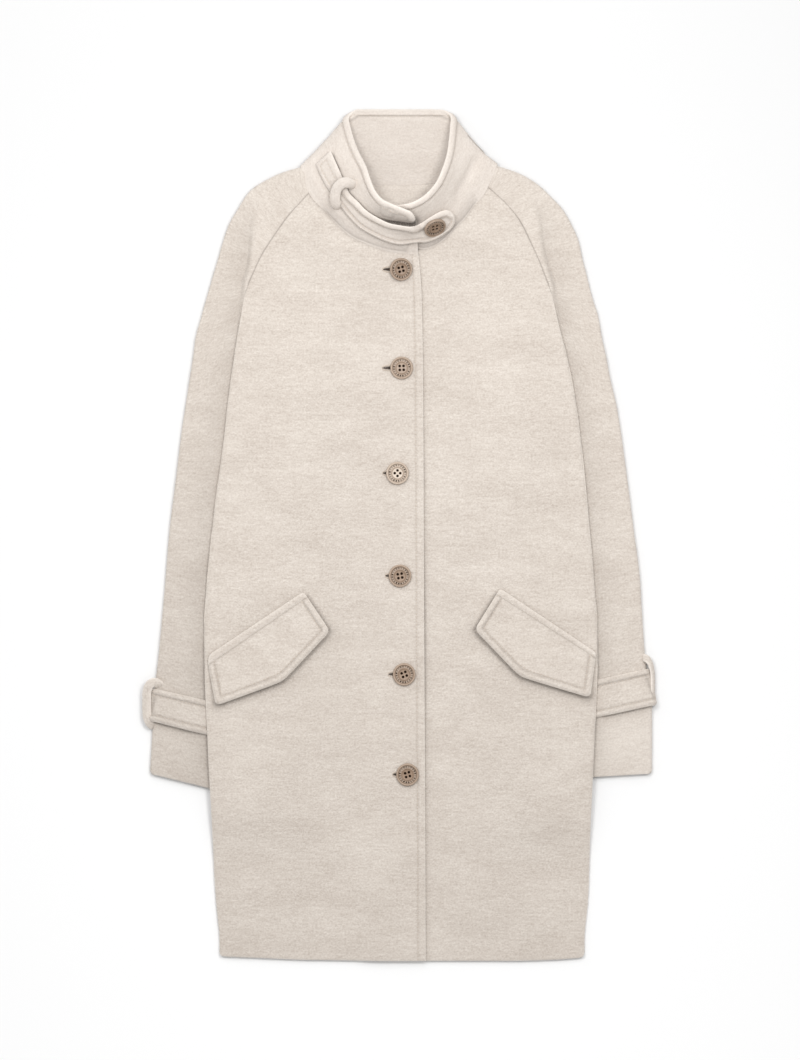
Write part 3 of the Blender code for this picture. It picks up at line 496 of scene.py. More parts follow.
def drape(x, y):
    """Sum of soft troughs, each a bell across its line that fades at its ends, and of slow seeded waves."""
    total = np.zeros_like(x)
    for x0, y0, x1, y1, width, depth in CREASES:
        length = math.hypot(x1 - x0, y1 - y0)
        share = ((x - x0) * (x1 - x0) + (y - y0) * (y1 - y0)) / length**2
        off = ((x - x0) * (y1 - y0) - (y - y0) * (x1 - x0)) / length
        fade = smooth_step(share, -0.2, 0.3) * (1 - smooth_step(share, 0.7, 1.2))
        total -= depth * bell(off, width) * fade
    chance = np.random.default_rng(11)
    for _ in range(WAVES):
        turn, start = chance.uniform(0, math.pi), chance.uniform(0, 2 * math.pi)
        length = chance.uniform(*WAVE_LENGTH)
        phase = 2 * math.pi * (x * math.cos(turn) + y * math.sin(turn)) / length
        total += WAVE_HEIGHT * length * np.sin(phase + start)
    return total


# %% [markdown]
# Each panel's grid runs from the hem to the neck seam and from side to side. Below the underarm its rows
# are level, above it they spread between the raglan seam, the neck seam and the front edge like a
# stretched net.

# %% grid of a panel
HEM_LOW = -511.0
HEM_BLEND = 90              # how far up the rows follow the hem's curve


def panel_plan(left, right, hem_rows, level_rows, columns, raglan_left, raglan_right, neck, yoke_rows):
    """Places of a panel: level rows between two edges, then a net with blended edges up to the neck seam."""
    rows = np.concatenate([hem_rows, level_rows])
    low, high = x_on(left, rows), x_on(right, rows)
    x = low[:, None] + spaced(high - low, *columns)
    rise = rows[:, None] - hem_rows[0]
    y = rows[:, None] + (look_up(HEM, x) - hem_rows[0]) * (1 - smooth_step(rise, 0, HEM_BLEND))
    body = np.stack([x, y], axis=-1)
    across = (x[-1] - x[-1, 0]) / (x[-1, -1] - x[-1, 0])
    up = yoke_rows[:, None, None]
    s = across[None, :, None]
    sides = (1 - s) * along(raglan_left, yoke_rows)[:, None] + s * along(raglan_right, yoke_rows)[:, None]
    ends = (1 - up) * body[-1] + up * along(neck, across)
    corners = ((1 - s) * (1 - up) * body[-1, 0] + s * (1 - up) * body[-1, -1]
               + (1 - s) * up * np.array(neck[0], float) + s * up * np.array(neck[-1], float))
    return np.concatenate([body, (sides + ends - corners)[1:]])


def panel_relief(plan, free_edge, side_edge, seams):
    """A panel's x and y, and the distances of its places to its hem, free edge, side edge and seams."""
    hem = distance_to(plan, np.array(HEM, float))
    side = distance_to(plan, np.array(side_edge, float))
    seam = np.min([away_from(plan, line) for line in seams], axis=0)
    return plan[..., 0], plan[..., 1], hem, away_from(plan, free_edge), side, seam


def steps(start, end, size):
    """Even steps near a size."""
    return np.linspace(start, end, max(2, round(abs(end - start) / size) + 1))


hem_rows = HEM_LOW + SEAM_RIM
yoke_rows = np.concatenate([steps(0, 0.9, 0.03), 1 - SEAM_RIM[::-1] / 110])
print("rows near the hem:", len(hem_rows), "rows of the yoke:", len(yoke_rows))

# %% [markdown]
# The right front carries the buttonholes: slits sewn round with thread, drawn a little open by their
# buttons so that a dark wedge of painted shade shows in each. Rows and columns of its grid lie close
# together there, and the slit is pressed into it.

# %% buttons and buttonholes: their places
BUTTONS = [
    # x, y, lean_x, lean_y
    (1, 318, 8, 5), (2, 200, 0, 0), (-3, 74, 0, 0), (0, -49, 0, 0), (5, -167, 0, 0), (9, -287, 0, 0),
]
BUTTON_WIDTH, BUTTON_HEIGHT = 27.3, 4.6
SLIT_REACH = (21.5, 23.0, 17.5, 17.5, 19.0, 17.5)    # how far each slit shows from its button's centre
SLIT_OPEN = 4.0                                       # half its opening at the button
SLIT_UNDER = 9                                        # how far it goes on under the button


def slit_half(x, button_x, reach):
    """Half the opening of a buttonhole: it grows as the root of the share of the way to its button."""
    return SLIT_OPEN * np.sqrt(np.clip((x - (button_x - reach)) / reach, 0, 1))


def buttonholes(x, y):
    """How deep inside a buttonhole a place is, 0 to 1: each is a wedge that opens towards its button."""
    inside = np.zeros_like(x)
    for (button_x, button_y, _, _), reach in zip(BUTTONS, SLIT_REACH):
        end = button_x + SLIT_UNDER
        half = slit_half(x, button_x, reach) * (1 - smooth_step(x, button_x, end)) + 1e-6
        near = (x > button_x - reach) * (x < end)
        inside = np.maximum(inside, near * (1 - smooth_step(np.abs(y - button_y), 0.45 * half, half)))
    return inside


# %% [markdown]
# Pocket flaps and welts lie on the fronts. Little light reaches the fronts below the flaps' free edges,
# beside their inner sides and above the welts, so painted shade runs along the flaps' outlines there.
# Painted shade also runs beside the standing collar.

# %% pockets: their outlines
POCKETS = {
    # corners of the flap, from its seam's outer end round its point to the inner end; the welt's upper edge
    "right": ([(-229.5, -155.5), (-220, -204), (-139.5, -175), (-83.5, -115), (-111, -74)],
              [(-229.5, -144), (-115.5, -67.5)]),
    "left": ([(234, -146.5), (227, -194.5), (143, -169.5), (89, -113), (115.5, -70.5)],
             [(234.5, -140.5), (119.5, -63.5)]),
}
POCKET_ROWS = (-259, -43)   # heights between which the rows of a front lie close together


def pocket_shade(plan, side):
    """Painted shade that falls off from the flap's lower edge, its inner side and the welt's upper edge."""
    corners, welt_edge = POCKETS[side]
    outline = (corners[1:4], corners[3:], welt_edge)
    lower, inner, upper = (distance_to(plan, np.array(line, float)) for line in outline)
    return np.max([0.33 * np.exp(-lower / 4.2), 0.46 * bell(inner, 2.7), 0.12 * np.exp(-upper / 4.0)], axis=0)


def collar_shade(plan, neck):
    """Painted shade on a front beside the collar that stands on its neck seam: a bell a few millimetres wide.
    """
    return 0.26 * bell(away_from(plan, neck), 3.0)


def front_levels():
    """Heights of a front's rows, close together beside the pockets."""
    low, high = POCKET_ROWS
    return np.concatenate([steps(hem_rows[-1] + 4, low - 3, 5.0), steps(low, high, 2.8),
                           steps(high + 3, UNDERARM, 5.0)])


# %% [markdown]
# The right front lies on top, so its free edge shows from hem to neck: turned in, pressed and
# topstitched. Its side rolls down over the sleeve to the back. The shell is closed, with the slits of the
# buttonholes pressed into it.

# %% right front
FRONT_STITCH = 9.4
EDGE_ROUND = 2.4            # how far in a hem or a side is rounded
SEAM_ROUND = 1.6            # how far in the cloth is pulled down at a seam
SHADE = 0.2                 # painted shade in the groove where stitches pull the cloth together
SLIT_DEPTH = 2.2
SIDE_ROLL = (2.2, 7.0)      # how far down a side rolls, and over what width
ARMPIT = (200, 262)         # heights between which that roll fades
YOKE_RISE = 48              # of the front edge from the underarm to the neck


def side_roll(side, y):
    """How far a front rolls down at its side: a quarter of an ellipse that fades towards the armpit."""
    return SIDE_ROLL[0] * (1 - rounded(side, SIDE_ROLL[1])) * (1 - smooth_step(y, *ARMPIT))


level = front_levels()
near_slits = np.concatenate([y + np.arange(-3.6, 3.7, 0.6) for _, y, _, _ in BUTTONS if y < UNDERARM])
clear = np.abs(level[:, None] - [button[1] for button in BUTTONS]).min(axis=1) > 5.5
level = np.sort(np.concatenate([level[clear], near_slits]))
first_row = (BUTTONS[0][1] - UNDERARM) / YOKE_RISE
slit_yoke = np.sort(np.concatenate([yoke_rows, first_row + np.arange(-4, 4.1, 0.8) / YOKE_RISE]))
edge_columns = np.concatenate([sewn_rim(FRONT_STITCH), np.arange(13.5, 56, 1.5)])
free_edge = [(float(x_on(EDGE_RIGHT, UNDERARM)), UNDERARM)] + EDGE_RIGHT[-2:]
plan = panel_plan(SIDE_RIGHT, EDGE_RIGHT, hem_rows, level, (SEAM_RIM, edge_columns, 60), RAGLAN_RIGHT,
                  free_edge, NECK_RIGHT, slit_yoke)
x, y, hem, free, side, seam = panel_relief(plan, EDGE_RIGHT, [HEM[0]] + SIDE_RIGHT,
                                           [RAGLAN_RIGHT, NECK_RIGHT])
# how deep each buttonhole is; the slit is also painted dark inside, a painted shade
slit_and_painted_shade = buttonholes(x, y)
wall = rounded(hem, EDGE_ROUND) * rounded(free, 2.6) * rounded(side, EDGE_ROUND)
above = (WALL / 2 + drape(x, y) * smooth_step(np.minimum(hem, free), 0, 20)
         + stitched(free, FRONT_STITCH, 0.7, 0.6)) * wall * seam_dip(seam) - SLIT_DEPTH * slit_and_painted_shade
below = WALL / 2 * wall * rounded(seam, SEAM_ROUND)
# painted shade in the slits, the groove, the seams and beside the flaps and collar; rounded edges get painted
# highlight
shade = np.max([slit_and_painted_shade, 0.5 * SHADE * groove(free, FRONT_STITCH), seam_shade(seam), pocket_shade(plan, "right"),
                collar_shade(plan, NECK_RIGHT)], axis=0)
height = right_front_height(x, y) - side_roll(side, y)
level_shell("cloth_front_right", plan, height, above, below, shade, 1 - wall)
right_front_top = np.concatenate([plan, (height + above)[..., None]], axis=-1)

# %% [markdown]
# The left front goes on under the right one as far as its buttons need. The lap stands off it a little,
# and a soft line of painted shade runs beside the lap's edge, darkest at the waist.

# %% left front
LAP_WAIST = (-120, 200)     # height where the painted shade beside the lap is darkest, and how far up and down that reaches

free_edge = [(float(x_on(EDGE_LEFT, UNDERARM)), UNDERARM)] + EDGE_LEFT[-2:]
plan = panel_plan(EDGE_LEFT, SIDE_LEFT, hem_rows, front_levels(), (SEAM_RIM, SEAM_RIM, 78), free_edge,
                  RAGLAN_LEFT, NECK_LEFT, yoke_rows)
x, y, hem, free, side, seam = panel_relief(plan, EDGE_LEFT, [HEM[-1]] + SIDE_LEFT, [RAGLAN_LEFT, NECK_LEFT])
wall = rounded(hem, EDGE_ROUND) * rounded(free, 2.2) * rounded(side, EDGE_ROUND)
clear_of_lap = smooth_step(x, 30, 60)
above = (WALL / 2 + drape(x, y) * smooth_step(hem, 0, 20) * clear_of_lap) * wall * seam_dip(seam)
below = WALL / 2 * wall * rounded(seam, SEAM_ROUND)
to_lap = away_from(plan, EDGE_RIGHT)
# painted shade beside the lap's edge, darkest at the waist; rounded edges get painted highlight
painted_lap_shade = 0.14 + 0.30 * bell(y - LAP_WAIST[0], LAP_WAIST[1])
beside_lap = painted_lap_shade * (0.8 * bell(to_lap, 2.0) + 0.2 * bell(to_lap, 7.0))
shade = np.max([seam_shade(seam), pocket_shade(plan, "left"), beside_lap,
                collar_shade(plan, NECK_LEFT)], axis=0)
level_shell("cloth_front_left", plan, front_height(x, y) - side_roll(side, y), above, below, shade, 1 - wall)

# %% [markdown]
# The back lies on the floor under everything and shows only inside the collar. It is the plainest panel:
# one sheet between its two sides, lifted by the sleeves and raised at the neck to meet the collar's
# doubled cloth.

# %% back
NECK_STEP = 2.8             # how far the back rises at the neck
BACK_ROUND = 3.0            # how far in its sides and raglan seams are rounded

raglan_mirrored = [(181.5, 290)] + [(-x, y) for x, y in RAGLAN_BACK[1:]]
plan = panel_plan(SIDE_RIGHT, SIDE_LEFT, hem_rows + 2.5, steps(hem_rows[-1] + 6, UNDERARM, 9.0),
                  (SEAM_RIM, SEAM_RIM, 50), RAGLAN_BACK, raglan_mirrored, NECK_BACK, yoke_rows)
x, y, hem, neck, side, seam = panel_relief(plan, NECK_BACK, [HEM[0]] + SIDE_RIGHT,
                                           [[HEM[-1]] + SIDE_LEFT, RAGLAN_BACK, raglan_mirrored])
sides = rounded(np.minimum(side, seam), BACK_ROUND)
wall = rounded(np.minimum(hem, y - y[0]), 2.2) * sides * rounded(neck, SEAM_ROUND)
wall[0] = 0
above = WALL / 2 * (wall + (1 - rounded(neck, SEAM_ROUND)) * 0.6 * sides)
height = FLOOR_LAYER + lifts(x, y)[0] + NECK_STEP * bell(neck, 13)
# painted highlight on the back's rounded edges and round its neck inside the collar
edge = np.maximum(1 - wall, 0.35 * bell(neck, 45))
level_shell("cloth_back", plan, height, above, WALL / 2 * wall, None, edge)

# %% [markdown]
# The sleeves are tubes laid flat, tucked under the body from the armpit down. Each is a table of sections
# from the neck to the cuff: where the section leaves the raglan or underarm seam, where it turns at the
# outer fold and where it comes back below. The upper layer falls from the seam to its own level in a
# crease that gets shorter downwards.

# %% sleeves: their sections
SLEEVE_LAY = [
    # level of the upper layer, width of its crease, share of its edge's height that the seam gives
    (11.0, 0.90, 1), (9.5, 0.70, 1), (8.0, 0.45, 1), (6.8, 0.30, 1), (6.0, 0.24, 1), (5.5, 0.19, 1),
    (5.2, 0.16, 1), (5.2, 0.14, 1), (5.2, 0.14, 1), (5.2, 0.14, 1), (5.4, 0.14, 0.80), (5.6, 0.14, 0.64),
    (6.0, 0.14, 0.40), (6.5, 0.12, 0.1), (6.5, 0.10, 0), *[(6.5, 0.08, 0)] * 9,
]
SLEEVE_RIGHT = [
    # front_x, front_y, outer_x, outer_y, crease
    (-109, 410, -115.5, 442, 0.50), (-120, 397.6, -143, 433.5, 0.60), (-131, 386, -166, 422, 0.70),
    (-141, 373, -180, 412, 0.72), (-150, 360, -194, 391, 0.61), (-158, 348, -205, 372, 0.43),
    (-166, 335, -212, 352, 0.30), (-172, 322, -218, 331, 0.21), (-178, 309, -224, 311, 0.15),
    (-181.6, 300, -228, 297, 0.12), (-183.0, 288, -233, 280, 0.11), (-184.5, 276, -239, 258, 0.11),
    (-187.0, 258, -245, 236, 0.11), (-183, 238, -248, 213, 0.08), (-160, 212, -252, 187, 0.05),
    (-138, 182, -257, 155, 0.04), (-125, 142, -262, 122, 0.04), (-121, 70, -268.5, 68, 0.04),
    (-124, -10, -276.4, 5, 0.04), (-132, -90, -282, -62, 0.04), (-142, -160, -288, -130, 0.04),
    (-150, -217, -293.5, -184, 0.04), (-157, -268, -296.5, -232, 0.04), (-166, -319, -299.8, -286, 0.04),
]
SLEEVE_LEFT = [
    # front_x, front_y, outer_x, outer_y, crease
    (104, 418, 114, 443, 0.50), (113, 410, 143, 433, 0.60), (124, 400, 166, 419, 0.70),
    (134, 389, 181, 405, 0.60), (144, 376, 195, 390, 0.44), (152, 361, 206, 371, 0.32),
    (160, 343, 214, 353, 0.21), (168, 325, 219, 330, 0.15), (175, 307, 224, 311, 0.12),
    (178.0, 299, 227, 298, 0.11), (179.0, 288, 231, 283, 0.11), (180.5, 276, 238, 260, 0.12),
    (184.0, 256, 242, 236, 0.12), (182, 236, 247, 213, 0.08), (160, 210, 252, 187, 0.05),
    (138, 180, 258, 162, 0.04), (125, 140, 263.5, 132, 0.04), (121, 68, 271.5, 75, 0.04),
    (124, -8, 280, 8, 0.04), (132, -75, 287.5, -52, 0.04), (141, -135, 291, -108, 0.04),
    (147, -192, 295, -160, 0.04), (155, -238, 302, -206, 0.04), (167, -294, 302, -286, 0.04),
]
# where the first sections come back below; the others come back under the place that they leave
UNDER_RIGHT = [
    (-84, 430), (-100, 413), (-117, 393), (-131, 374), (-144, 355), (-154, 339), (-164, 323), (-171, 312),
    (-178, 302), (-181.6, 299),
]
UNDER_LEFT = [(84, 430), (99, 414), (117, 393), (131, 374), (144, 355), (154, 339), (164, 323), (171, 312),
              (177, 303), (178.0, 298)]


def sleeve_table(sections, under):
    """Rows of front_x, front_y, outer_x, outer_y, back_x, back_y, level, crease, width and seam's share."""
    rows, lay = np.array(sections, float), np.array(SLEEVE_LAY)
    back = np.concatenate([under, rows[len(under):, 0:2]])
    return np.concatenate([rows[:, :4], back, lay[:, :1], rows[:, 4:], lay[:, 1:]], axis=1)


SLEEVES = {"right": sleeve_table(SLEEVE_RIGHT, UNDER_RIGHT), "left": sleeve_table(SLEEVE_LEFT, UNDER_LEFT)}
UNDERARM_LAYER = FLOOR_LAYER + WALL + GAP


def sleeve_surface(data, upper, fold, lower):
    """Middle of a flat tube: straight from seam to fold, half a circle round it, straight back below."""
    front, outer, back = data[:, 0:2], data[:, 2:4], data[:, 4:6]
    level, crease, width, sewn = data[:, 6:].T[..., None]
    to_front, to_back = unit(front - outer), unit(back - outer)
    edge = sewn * front_height(front[:, :1], front[:, 1:]) + (1 - sewn) * UNDERARM_LAYER
    front = front + 0.15 * to_front
    back = back - 0.1 * to_back
    tip = outer + to_front * WALL / 2
    radius = (level - FLOOR_LAYER) / 2
    start = tip + to_front * radius
    plan = front[:, None] + (start - front)[:, None] * upper[..., None]
    fall = smooth_step(upper, crease - width / 2, crease + width / 2)
    top = np.concatenate([plan, (edge + (level - edge) * fall)[..., None]], axis=-1)
    turn = np.radians(fold)
    side = np.where(turn[None, :, None] <= math.pi / 2, to_front[:, None], to_back[:, None])
    plan = tip[:, None] + side * (radius * (1 - np.sin(turn)))[..., None]
    round_fold = np.concatenate([plan, (FLOOR_LAYER + radius * (1 + np.cos(turn)))[..., None]], axis=-1)
    start = tip + to_back * radius
    plan = start[:, None] + (back - start)[:, None] * lower[None, :, None]
    flat = np.concatenate([plan, np.full_like(plan[..., :1], FLOOR_LAYER)], axis=-1)
    return np.concatenate([top, round_fold, flat], axis=1)


# %% [markdown]
# Each sleeve is a shell on these sections. The body's edge keeps the light off the sleeve beside it, and
# so does the crease at the armpit, so painted shade lies there. The right sleeve is painted darker towards
# the cuff, a painted shade, and the left cuff is painted paler, a painted light.

# %% sleeves
FOLD_TURNS = np.linspace(0, 180, 13)
CUFF_CORNER = 5.0           # radius of the cuff's corner at the outer fold
FOLD_GLOW = 0.6             # how much painted highlight the outer fold gets, as a share of a free edge's
BODY_SHADE = 0.16           # how dark the sleeves are painted right beside the body's edge, a painted shade
BODY_TOP = 255              # height below which the body's edge lies over them
DARKER, PALER = (150, 760), (690, 730)               # lengths down a sleeve over which its painted shade and painted light grow
SLEEVE_BELOW = np.array([0.12, 0.3, 0.5, 0.7, 0.85, 0.93, 0.965, 0.985, 0.995, 1.0])


def add_sleeve(side, body_edge, reach, painted_tone):
    """A sleeve's shell: its sections at even steps, shaded in the crease and along the body's edge.

    Reach is how wide that shade is. Painted_tone is how much darker the sleeve is painted towards the
    cuff, a painted shade, or, if below 0, how much paler its cuff is painted, a painted light.
    """
    data = SLEEVES[side]
    key = lengths(data[:, 2:4])
    stops = spaced([key[-1]], SEAM_RIM, SEAM_RIM, 150)[0]
    rows = smooth_through(key, data, stops)
    to_cuff = key[-1] - stops
    cut = CUFF_CORNER * (1 - rounded(to_cuff, CUFF_CORNER))
    rows[:, 2:4] += unit(rows[:, 0:2] - rows[:, 2:4]) * cut[:, None]
    width = np.linalg.norm(rows[:, 0:2] - rows[:, 2:4], axis=1)
    across = spaced(width, SEAM_RIM, SEAM_RIM[:1], 40)
    surface = sleeve_surface(rows, across / width[:, None], FOLD_TURNS, SLEEVE_BELOW)
    girth = girths(surface)
    cuff = np.broadcast_to(to_cuff[:, None], girth.shape)
    neck = np.broadcast_to(stops[:, None], girth.shape)
    free = rounded(girth[:, -1:] - girth, 3.0) * rounded(cuff, 2.6)
    dip = free * seam_dip(np.minimum(girth, neck))
    wall = free * rounded(girth, SEAM_ROUND) * rounded(neck, SEAM_ROUND)
    out = out_of(surface)
    flat_top = np.clip(np.sign(out[len(out) // 2, 4, 2]) * out[..., 2], 0, 1)
    soft = drape(surface[..., 0], surface[..., 1]) * flat_top
    soft = soft * smooth_step(cuff, 0, 25) * smooth_step(girth, 2, 30)
    grain = np.stack([width[:, None] - girth, -neck], axis=-1)
    crease = data[:, 0:2] + (data[:, 2:4] - data[:, 0:2]) * data[:, 7:8]
    beside = distance_to(surface[..., :2], np.concatenate([crease[3:10], body_edge]))
    # painted shade beside the body's edge and below the armpit's crease
    depth = np.zeros_like(girth)
    depth[:, :across.shape[1]] = smooth_step(across / width[:, None] - rows[:, 7:8], -0.07, 0.03)
    depth *= BODY_SHADE * np.exp(-beside / reach) * smooth_step(neck, 60, 130)
    shade = np.maximum(seam_shade(np.minimum(girth, neck)), depth)
    # painted shade down the right sleeve
    shade = shade + max(painted_tone, 0) * smooth_step(neck, *DARKER)
    # painted highlight on free edges and the sides of the outer fold, and painted light at the left cuff
    edge = np.maximum(1 - free, FOLD_GLOW * (1 - np.abs(out[..., 2])) ** 2)
    edge = np.minimum(edge + max(-painted_tone, 0) * smooth_step(neck, *PALER), 1)
    order = slice(None, None, -1 if side == "right" else 1)
    parts = (surface, wall, dip, soft, grain, shade, edge)
    surface, wall, dip, soft, grain, shade, edge = (part[::-1][:, order] for part in parts)
    add_shell("cloth_sleeve_" + side, surface, out_of(surface), (WALL / 2 + soft) * dip, WALL / 2 * wall,
              grain, wool, shade, edge)


for side, edge, reach, painted_tone in (("right", SIDE_RIGHT, 22, 0.07), ("left", SIDE_LEFT, 14, -0.25)):
    add_sleeve(side, np.array([point for point in edge[::-1] if point[1] < BODY_TOP], float), reach, painted_tone)

# %% [markdown]
# The collar is a stand of doubled cloth. Its back lies on the floor, its sides rise and its two front
# ends lap over each other. Each section runs from the neck seam to the top edge and is pulled out or in
# between.

# %% collar: its sections
COLLAR = [
    # base_x, base_y, base_z, top_x, top_y, top_z, low_out, high_out
    (21.5, 339.6, 12.0, 16.5, 382, 50.5, -7, -3), (-2, 341.6, 12.0, 4.8, 387, 51, -8, -4),
    (-19, 344.8, 11.9, -9.6, 393, 49, -8, -4), (-40, 351.9, 10.6, -22.8, 400.5, 44.5, -6, -3),
    (-58, 360.5, 8.8, -31, 412, 40.5, -4, -2), (-73, 373.2, 8.8, -35.5, 424, 37, -2, -1),
    (-88, 388.9, 9.0, -41, 441, 31, 0, 0), (-102, 404, 9.5, -48, 455, 27, 1, 1),
    (-111.6, 423.3, 10.2, -54, 470, 22, 1, 1), (-114.5, 437, 10.6, -59, 487, 17, 0, 0),
    (-115.0, 443.5, 6.5, -61, 501.5, 10, -0.5, -1), (-107.5, 442.5, 3.3, -55.5, 508.5, 3.8, 0, 0),
    (-86, 433.2, 3.0, -41, 510.4, 3.0, 0, 0), (-58, 426.3, 3.0, -27, 510.5, 3.0, 0, 0),
    (-29, 422.7, 3.0, -13, 510.5, 3.0, 0, 0), (0, 421.7, 3.0, 0, 510.5, 3.0, 0, 0),
    (29, 422.7, 3.0, 13, 510.5, 3.0, 0, 0), (58, 426.3, 3.0, 27, 510.5, 3.0, 0, 0),
    (86, 433.2, 3.0, 41, 510.4, 3.0, 0, 0), (104, 442.5, 3.3, 55, 508.5, 3.8, 0, 0),
    (112.8, 445.2, 6.5, 60.5, 502.5, 11, -2.0, -1.0), (112, 439, 10.6, 60, 489, 19.5, -1.5, -0.5),
    (107.2, 428, 10.2, 58.5, 472, 27, -2, -0.5), (99.3, 412.2, 9.5, 56, 454, 33, -3, -1),
    (89, 398.2, 9.0, 50.5, 436, 39, -4, -1), (74.2, 379.2, 8.8, 42, 418, 42.5, -4, -1),
    (64.8, 369.8, 8.8, 35, 409.5, 44, -4, -1), (48.6, 353.8, 8.8, 26, 401.5, 45.5, -4, -1.5),
    (32.5, 345.8, 8.6, 13.5, 395, 46, -5.5, -2.5), (14, 347.2, 7.6, 0, 392, 44.5, -5.5, -3),
    (-16, 349, 7.0, -14.5, 392, 43, -5.5, -3),
]
COLLAR_WALL = 5.0
collar_table = np.array(COLLAR, float)
collar_keys = lengths((collar_table[:, 0:3] + collar_table[:, 3:6]) / 2)


def collar_rows(place):
    """Collar sections at places along its length, with heights that don't overshoot the table's."""
    row = round_through(collar_keys, collar_table, place)
    row[..., [2, 5]] = smooth_through(collar_keys, collar_table[:, [2, 5]], place)
    return row


def collar_sheet(place, rise):
    """Middle of the wall at a rise r: base + (top - base) r, moved out by its two pulls.

    The lower one counts 6.75 r (1-r)^2 times and the upper one 6.75 r^2 (1-r) times.
    """
    row, ahead, behind = (collar_rows(place + step) for step in (0, 1, -1))
    base, top = row[..., 0:3], row[..., 3:6]
    forward = ahead[..., 0:3] + ahead[..., 3:6] - behind[..., 0:3] - behind[..., 3:6]
    pull = 6.75 * rise * (1 - rise) * (row[..., 6] * (1 - rise) + row[..., 7] * rise)
    return base + (top - base) * rise[..., None] + unit(np.cross(top - base, forward)) * pull[..., None]


def collar_out(place, rise):
    """Way out of the collar's wall."""
    up = collar_sheet(place, rise + 0.01) - collar_sheet(place, rise)
    forward = collar_sheet(place + 1, rise) - collar_sheet(place - 1, rise)
    return unit(np.cross(up, forward))


# %% [markdown]
# Places along the collar are counted from the end of the upper lap round the back to the end of the lower
# lap, and rise is the share of its height. Its upper corners are rounded at both ends, and its foot goes
# down into the seam.

# %% collar: its grid
COLLAR_STITCH = 8.4
LAP_ROUND = 10.0            # radius of the upper corners at the ends of the laps
BELOW_SEAM = (3.2, 3.6)     # how far the collar goes into the neck seam in front, and at the sides and back

collar_rim = sewn_rim(COLLAR_STITCH)
place = spaced([collar_keys[-1]], collar_rim, collar_rim, 170)[0][::-1]
section = collar_rows(place)
full = np.linalg.norm(section[:, 3:6] - section[:, 0:3], axis=1)
to_end = np.minimum(place, collar_keys[-1] - place)
in_front = 1 - smooth_step(to_end, 100, 120)
by_sleeves = 1 - smooth_step(to_end, 150, 172)
into_seam = BELOW_SEAM[1] + (BELOW_SEAM[0] - BELOW_SEAM[1]) * in_front
stand = full - LAP_ROUND * (1 - rounded(to_end, LAP_ROUND)) + into_seam
rise = ((spaced(stand, SEAM_RIM, collar_rim, 26) - into_seam[:, None]) / full[:, None]).T
place = np.broadcast_to(place, rise.shape)
surface, out = collar_sheet(place, rise), collar_out(place, rise)
print("collar:", rise.shape, "points, length", round(collar_keys[-1]), "mm")

# %% [markdown]
# Both faces are topstitched a finger's breadth below the top edge, so that the rim stands up as a soft
# roll. The upper lap rolls over the strap like a tongue, and the lower lap's end is pressed in beneath
# it. On the left a fold shows where the collar bends out to the shoulder.

# %% collar: its relief
TONGUE = [
    # place, rise: lower edge of the roll that the upper lap makes above the strap
    (0, 0.80), (3, 0.72), (7, 0.675), (12, 0.65), (17, 0.63), (25, 0.60), (43, 0.56), (67, 0.55), (90, 0.54),
]
TONGUE_STEP, TONGUE_EDGE = 3.0, 0.055       # how far it is pressed in below that roll, and over what rise
TONGUE_SWELL = 1.6                          # how far the roll swells
FOLD = [
    # place, rise, depth
    (345, 0.22, 0.0), (356, 0.24, 1.0), (366, 0.30, 3.0), (378, 0.37, 4.0), (396, 0.39, 3.6),
    (414, 0.41, 2.2), (432, 0.36, 0.0),
]
FOLD_WIDTH = 7.0
LAP_SINK, LAP_TUCK = 2.4, (484, 496)        # how far the lower lap's end sinks in, and between which places
COLLAR_ROUND = 4.2

rim = distance_to(surface, np.concatenate([surface[:, 0], surface[-1], surface[::-1, -1]]))
top = distance_to(surface, surface[-1])
above_seam = rise * full
seam = above_seam + into_seam
wall = rounded(rim, COLLAR_ROUND) * rounded(seam, 1.2)
share, depth = look_up(FOLD, place)
fold = depth * bell((rise - share) * full, FOLD_WIDTH)
edge = look_up(TONGUE, place)
pressed = (1 - smooth_step(rise, edge - TONGUE_EDGE, edge)) * smooth_step(rise, 0.26, 0.38)
pressed = pressed * (1 - smooth_step(place, 42, 76))
tongue = (1 - smooth_step(place, 30, 80)) * (1 - pressed)
across = np.clip((rise - edge) / (1.02 - edge), 0, 1)
clear_of_floor = 1 - smooth_step(-out[..., 2], 0.2, 0.7)
relief = stitched(top, COLLAR_STITCH, 1.0, 1.1 * clear_of_floor) * (1 - pressed) * (1 - 0.7 * tongue)
relief = relief - LAP_SINK * smooth_step(place, *LAP_TUCK) - fold
outside = COLLAR_WALL / 2 + relief + 4 * TONGUE_SWELL * across * (1 - across) * tongue
outside = (outside - TONGUE_STEP * pressed) * wall
outside = outside * (1 - (0.15 * in_front + 0.5 * by_sleeves) * (1 - smooth_step(above_seam, 0, 10)))
strip = groove(place, FRONT_STITCH) * (1 - smooth_step(rise, 0.3, 0.36))
outside = outside - 0.7 * strip * wall
at_back = 1 - smooth_step(np.abs(place - collar_keys[-1] / 2), 74, 88)
ledge = 1.8 * smooth_step(top, 1, 6) * (1 - smooth_step(top, COLLAR_STITCH - 1.1, COLLAR_STITCH)) * at_back
inside = (COLLAR_WALL / 2 + ledge - 0.5 * groove(top, COLLAR_STITCH) + 0.6 * fold) * wall

# %% [markdown]
# The collar is painted darker where little light gets in, a painted shade: below the tongue, under the
# strap, in the nook where the laps part, along its foot and on its inside, which is lined with its own cloth.

# %% collar: its shades
UNDER_STRAP = [
    # place, rise: the line where the strap's upper edge hides the collar
    (10, 0.525), (21, 0.50), (33, 0.485), (44, 0.51), (55, 0.54), (66, 0.545), (76, 0.555), (87, 0.535),
    (97, 0.515), (108, 0.535), (119, 0.57), (130, 0.59), (141, 0.585), (152, 0.575),
]
NOOK = (482, 0.58, 6)       # place, rise and width

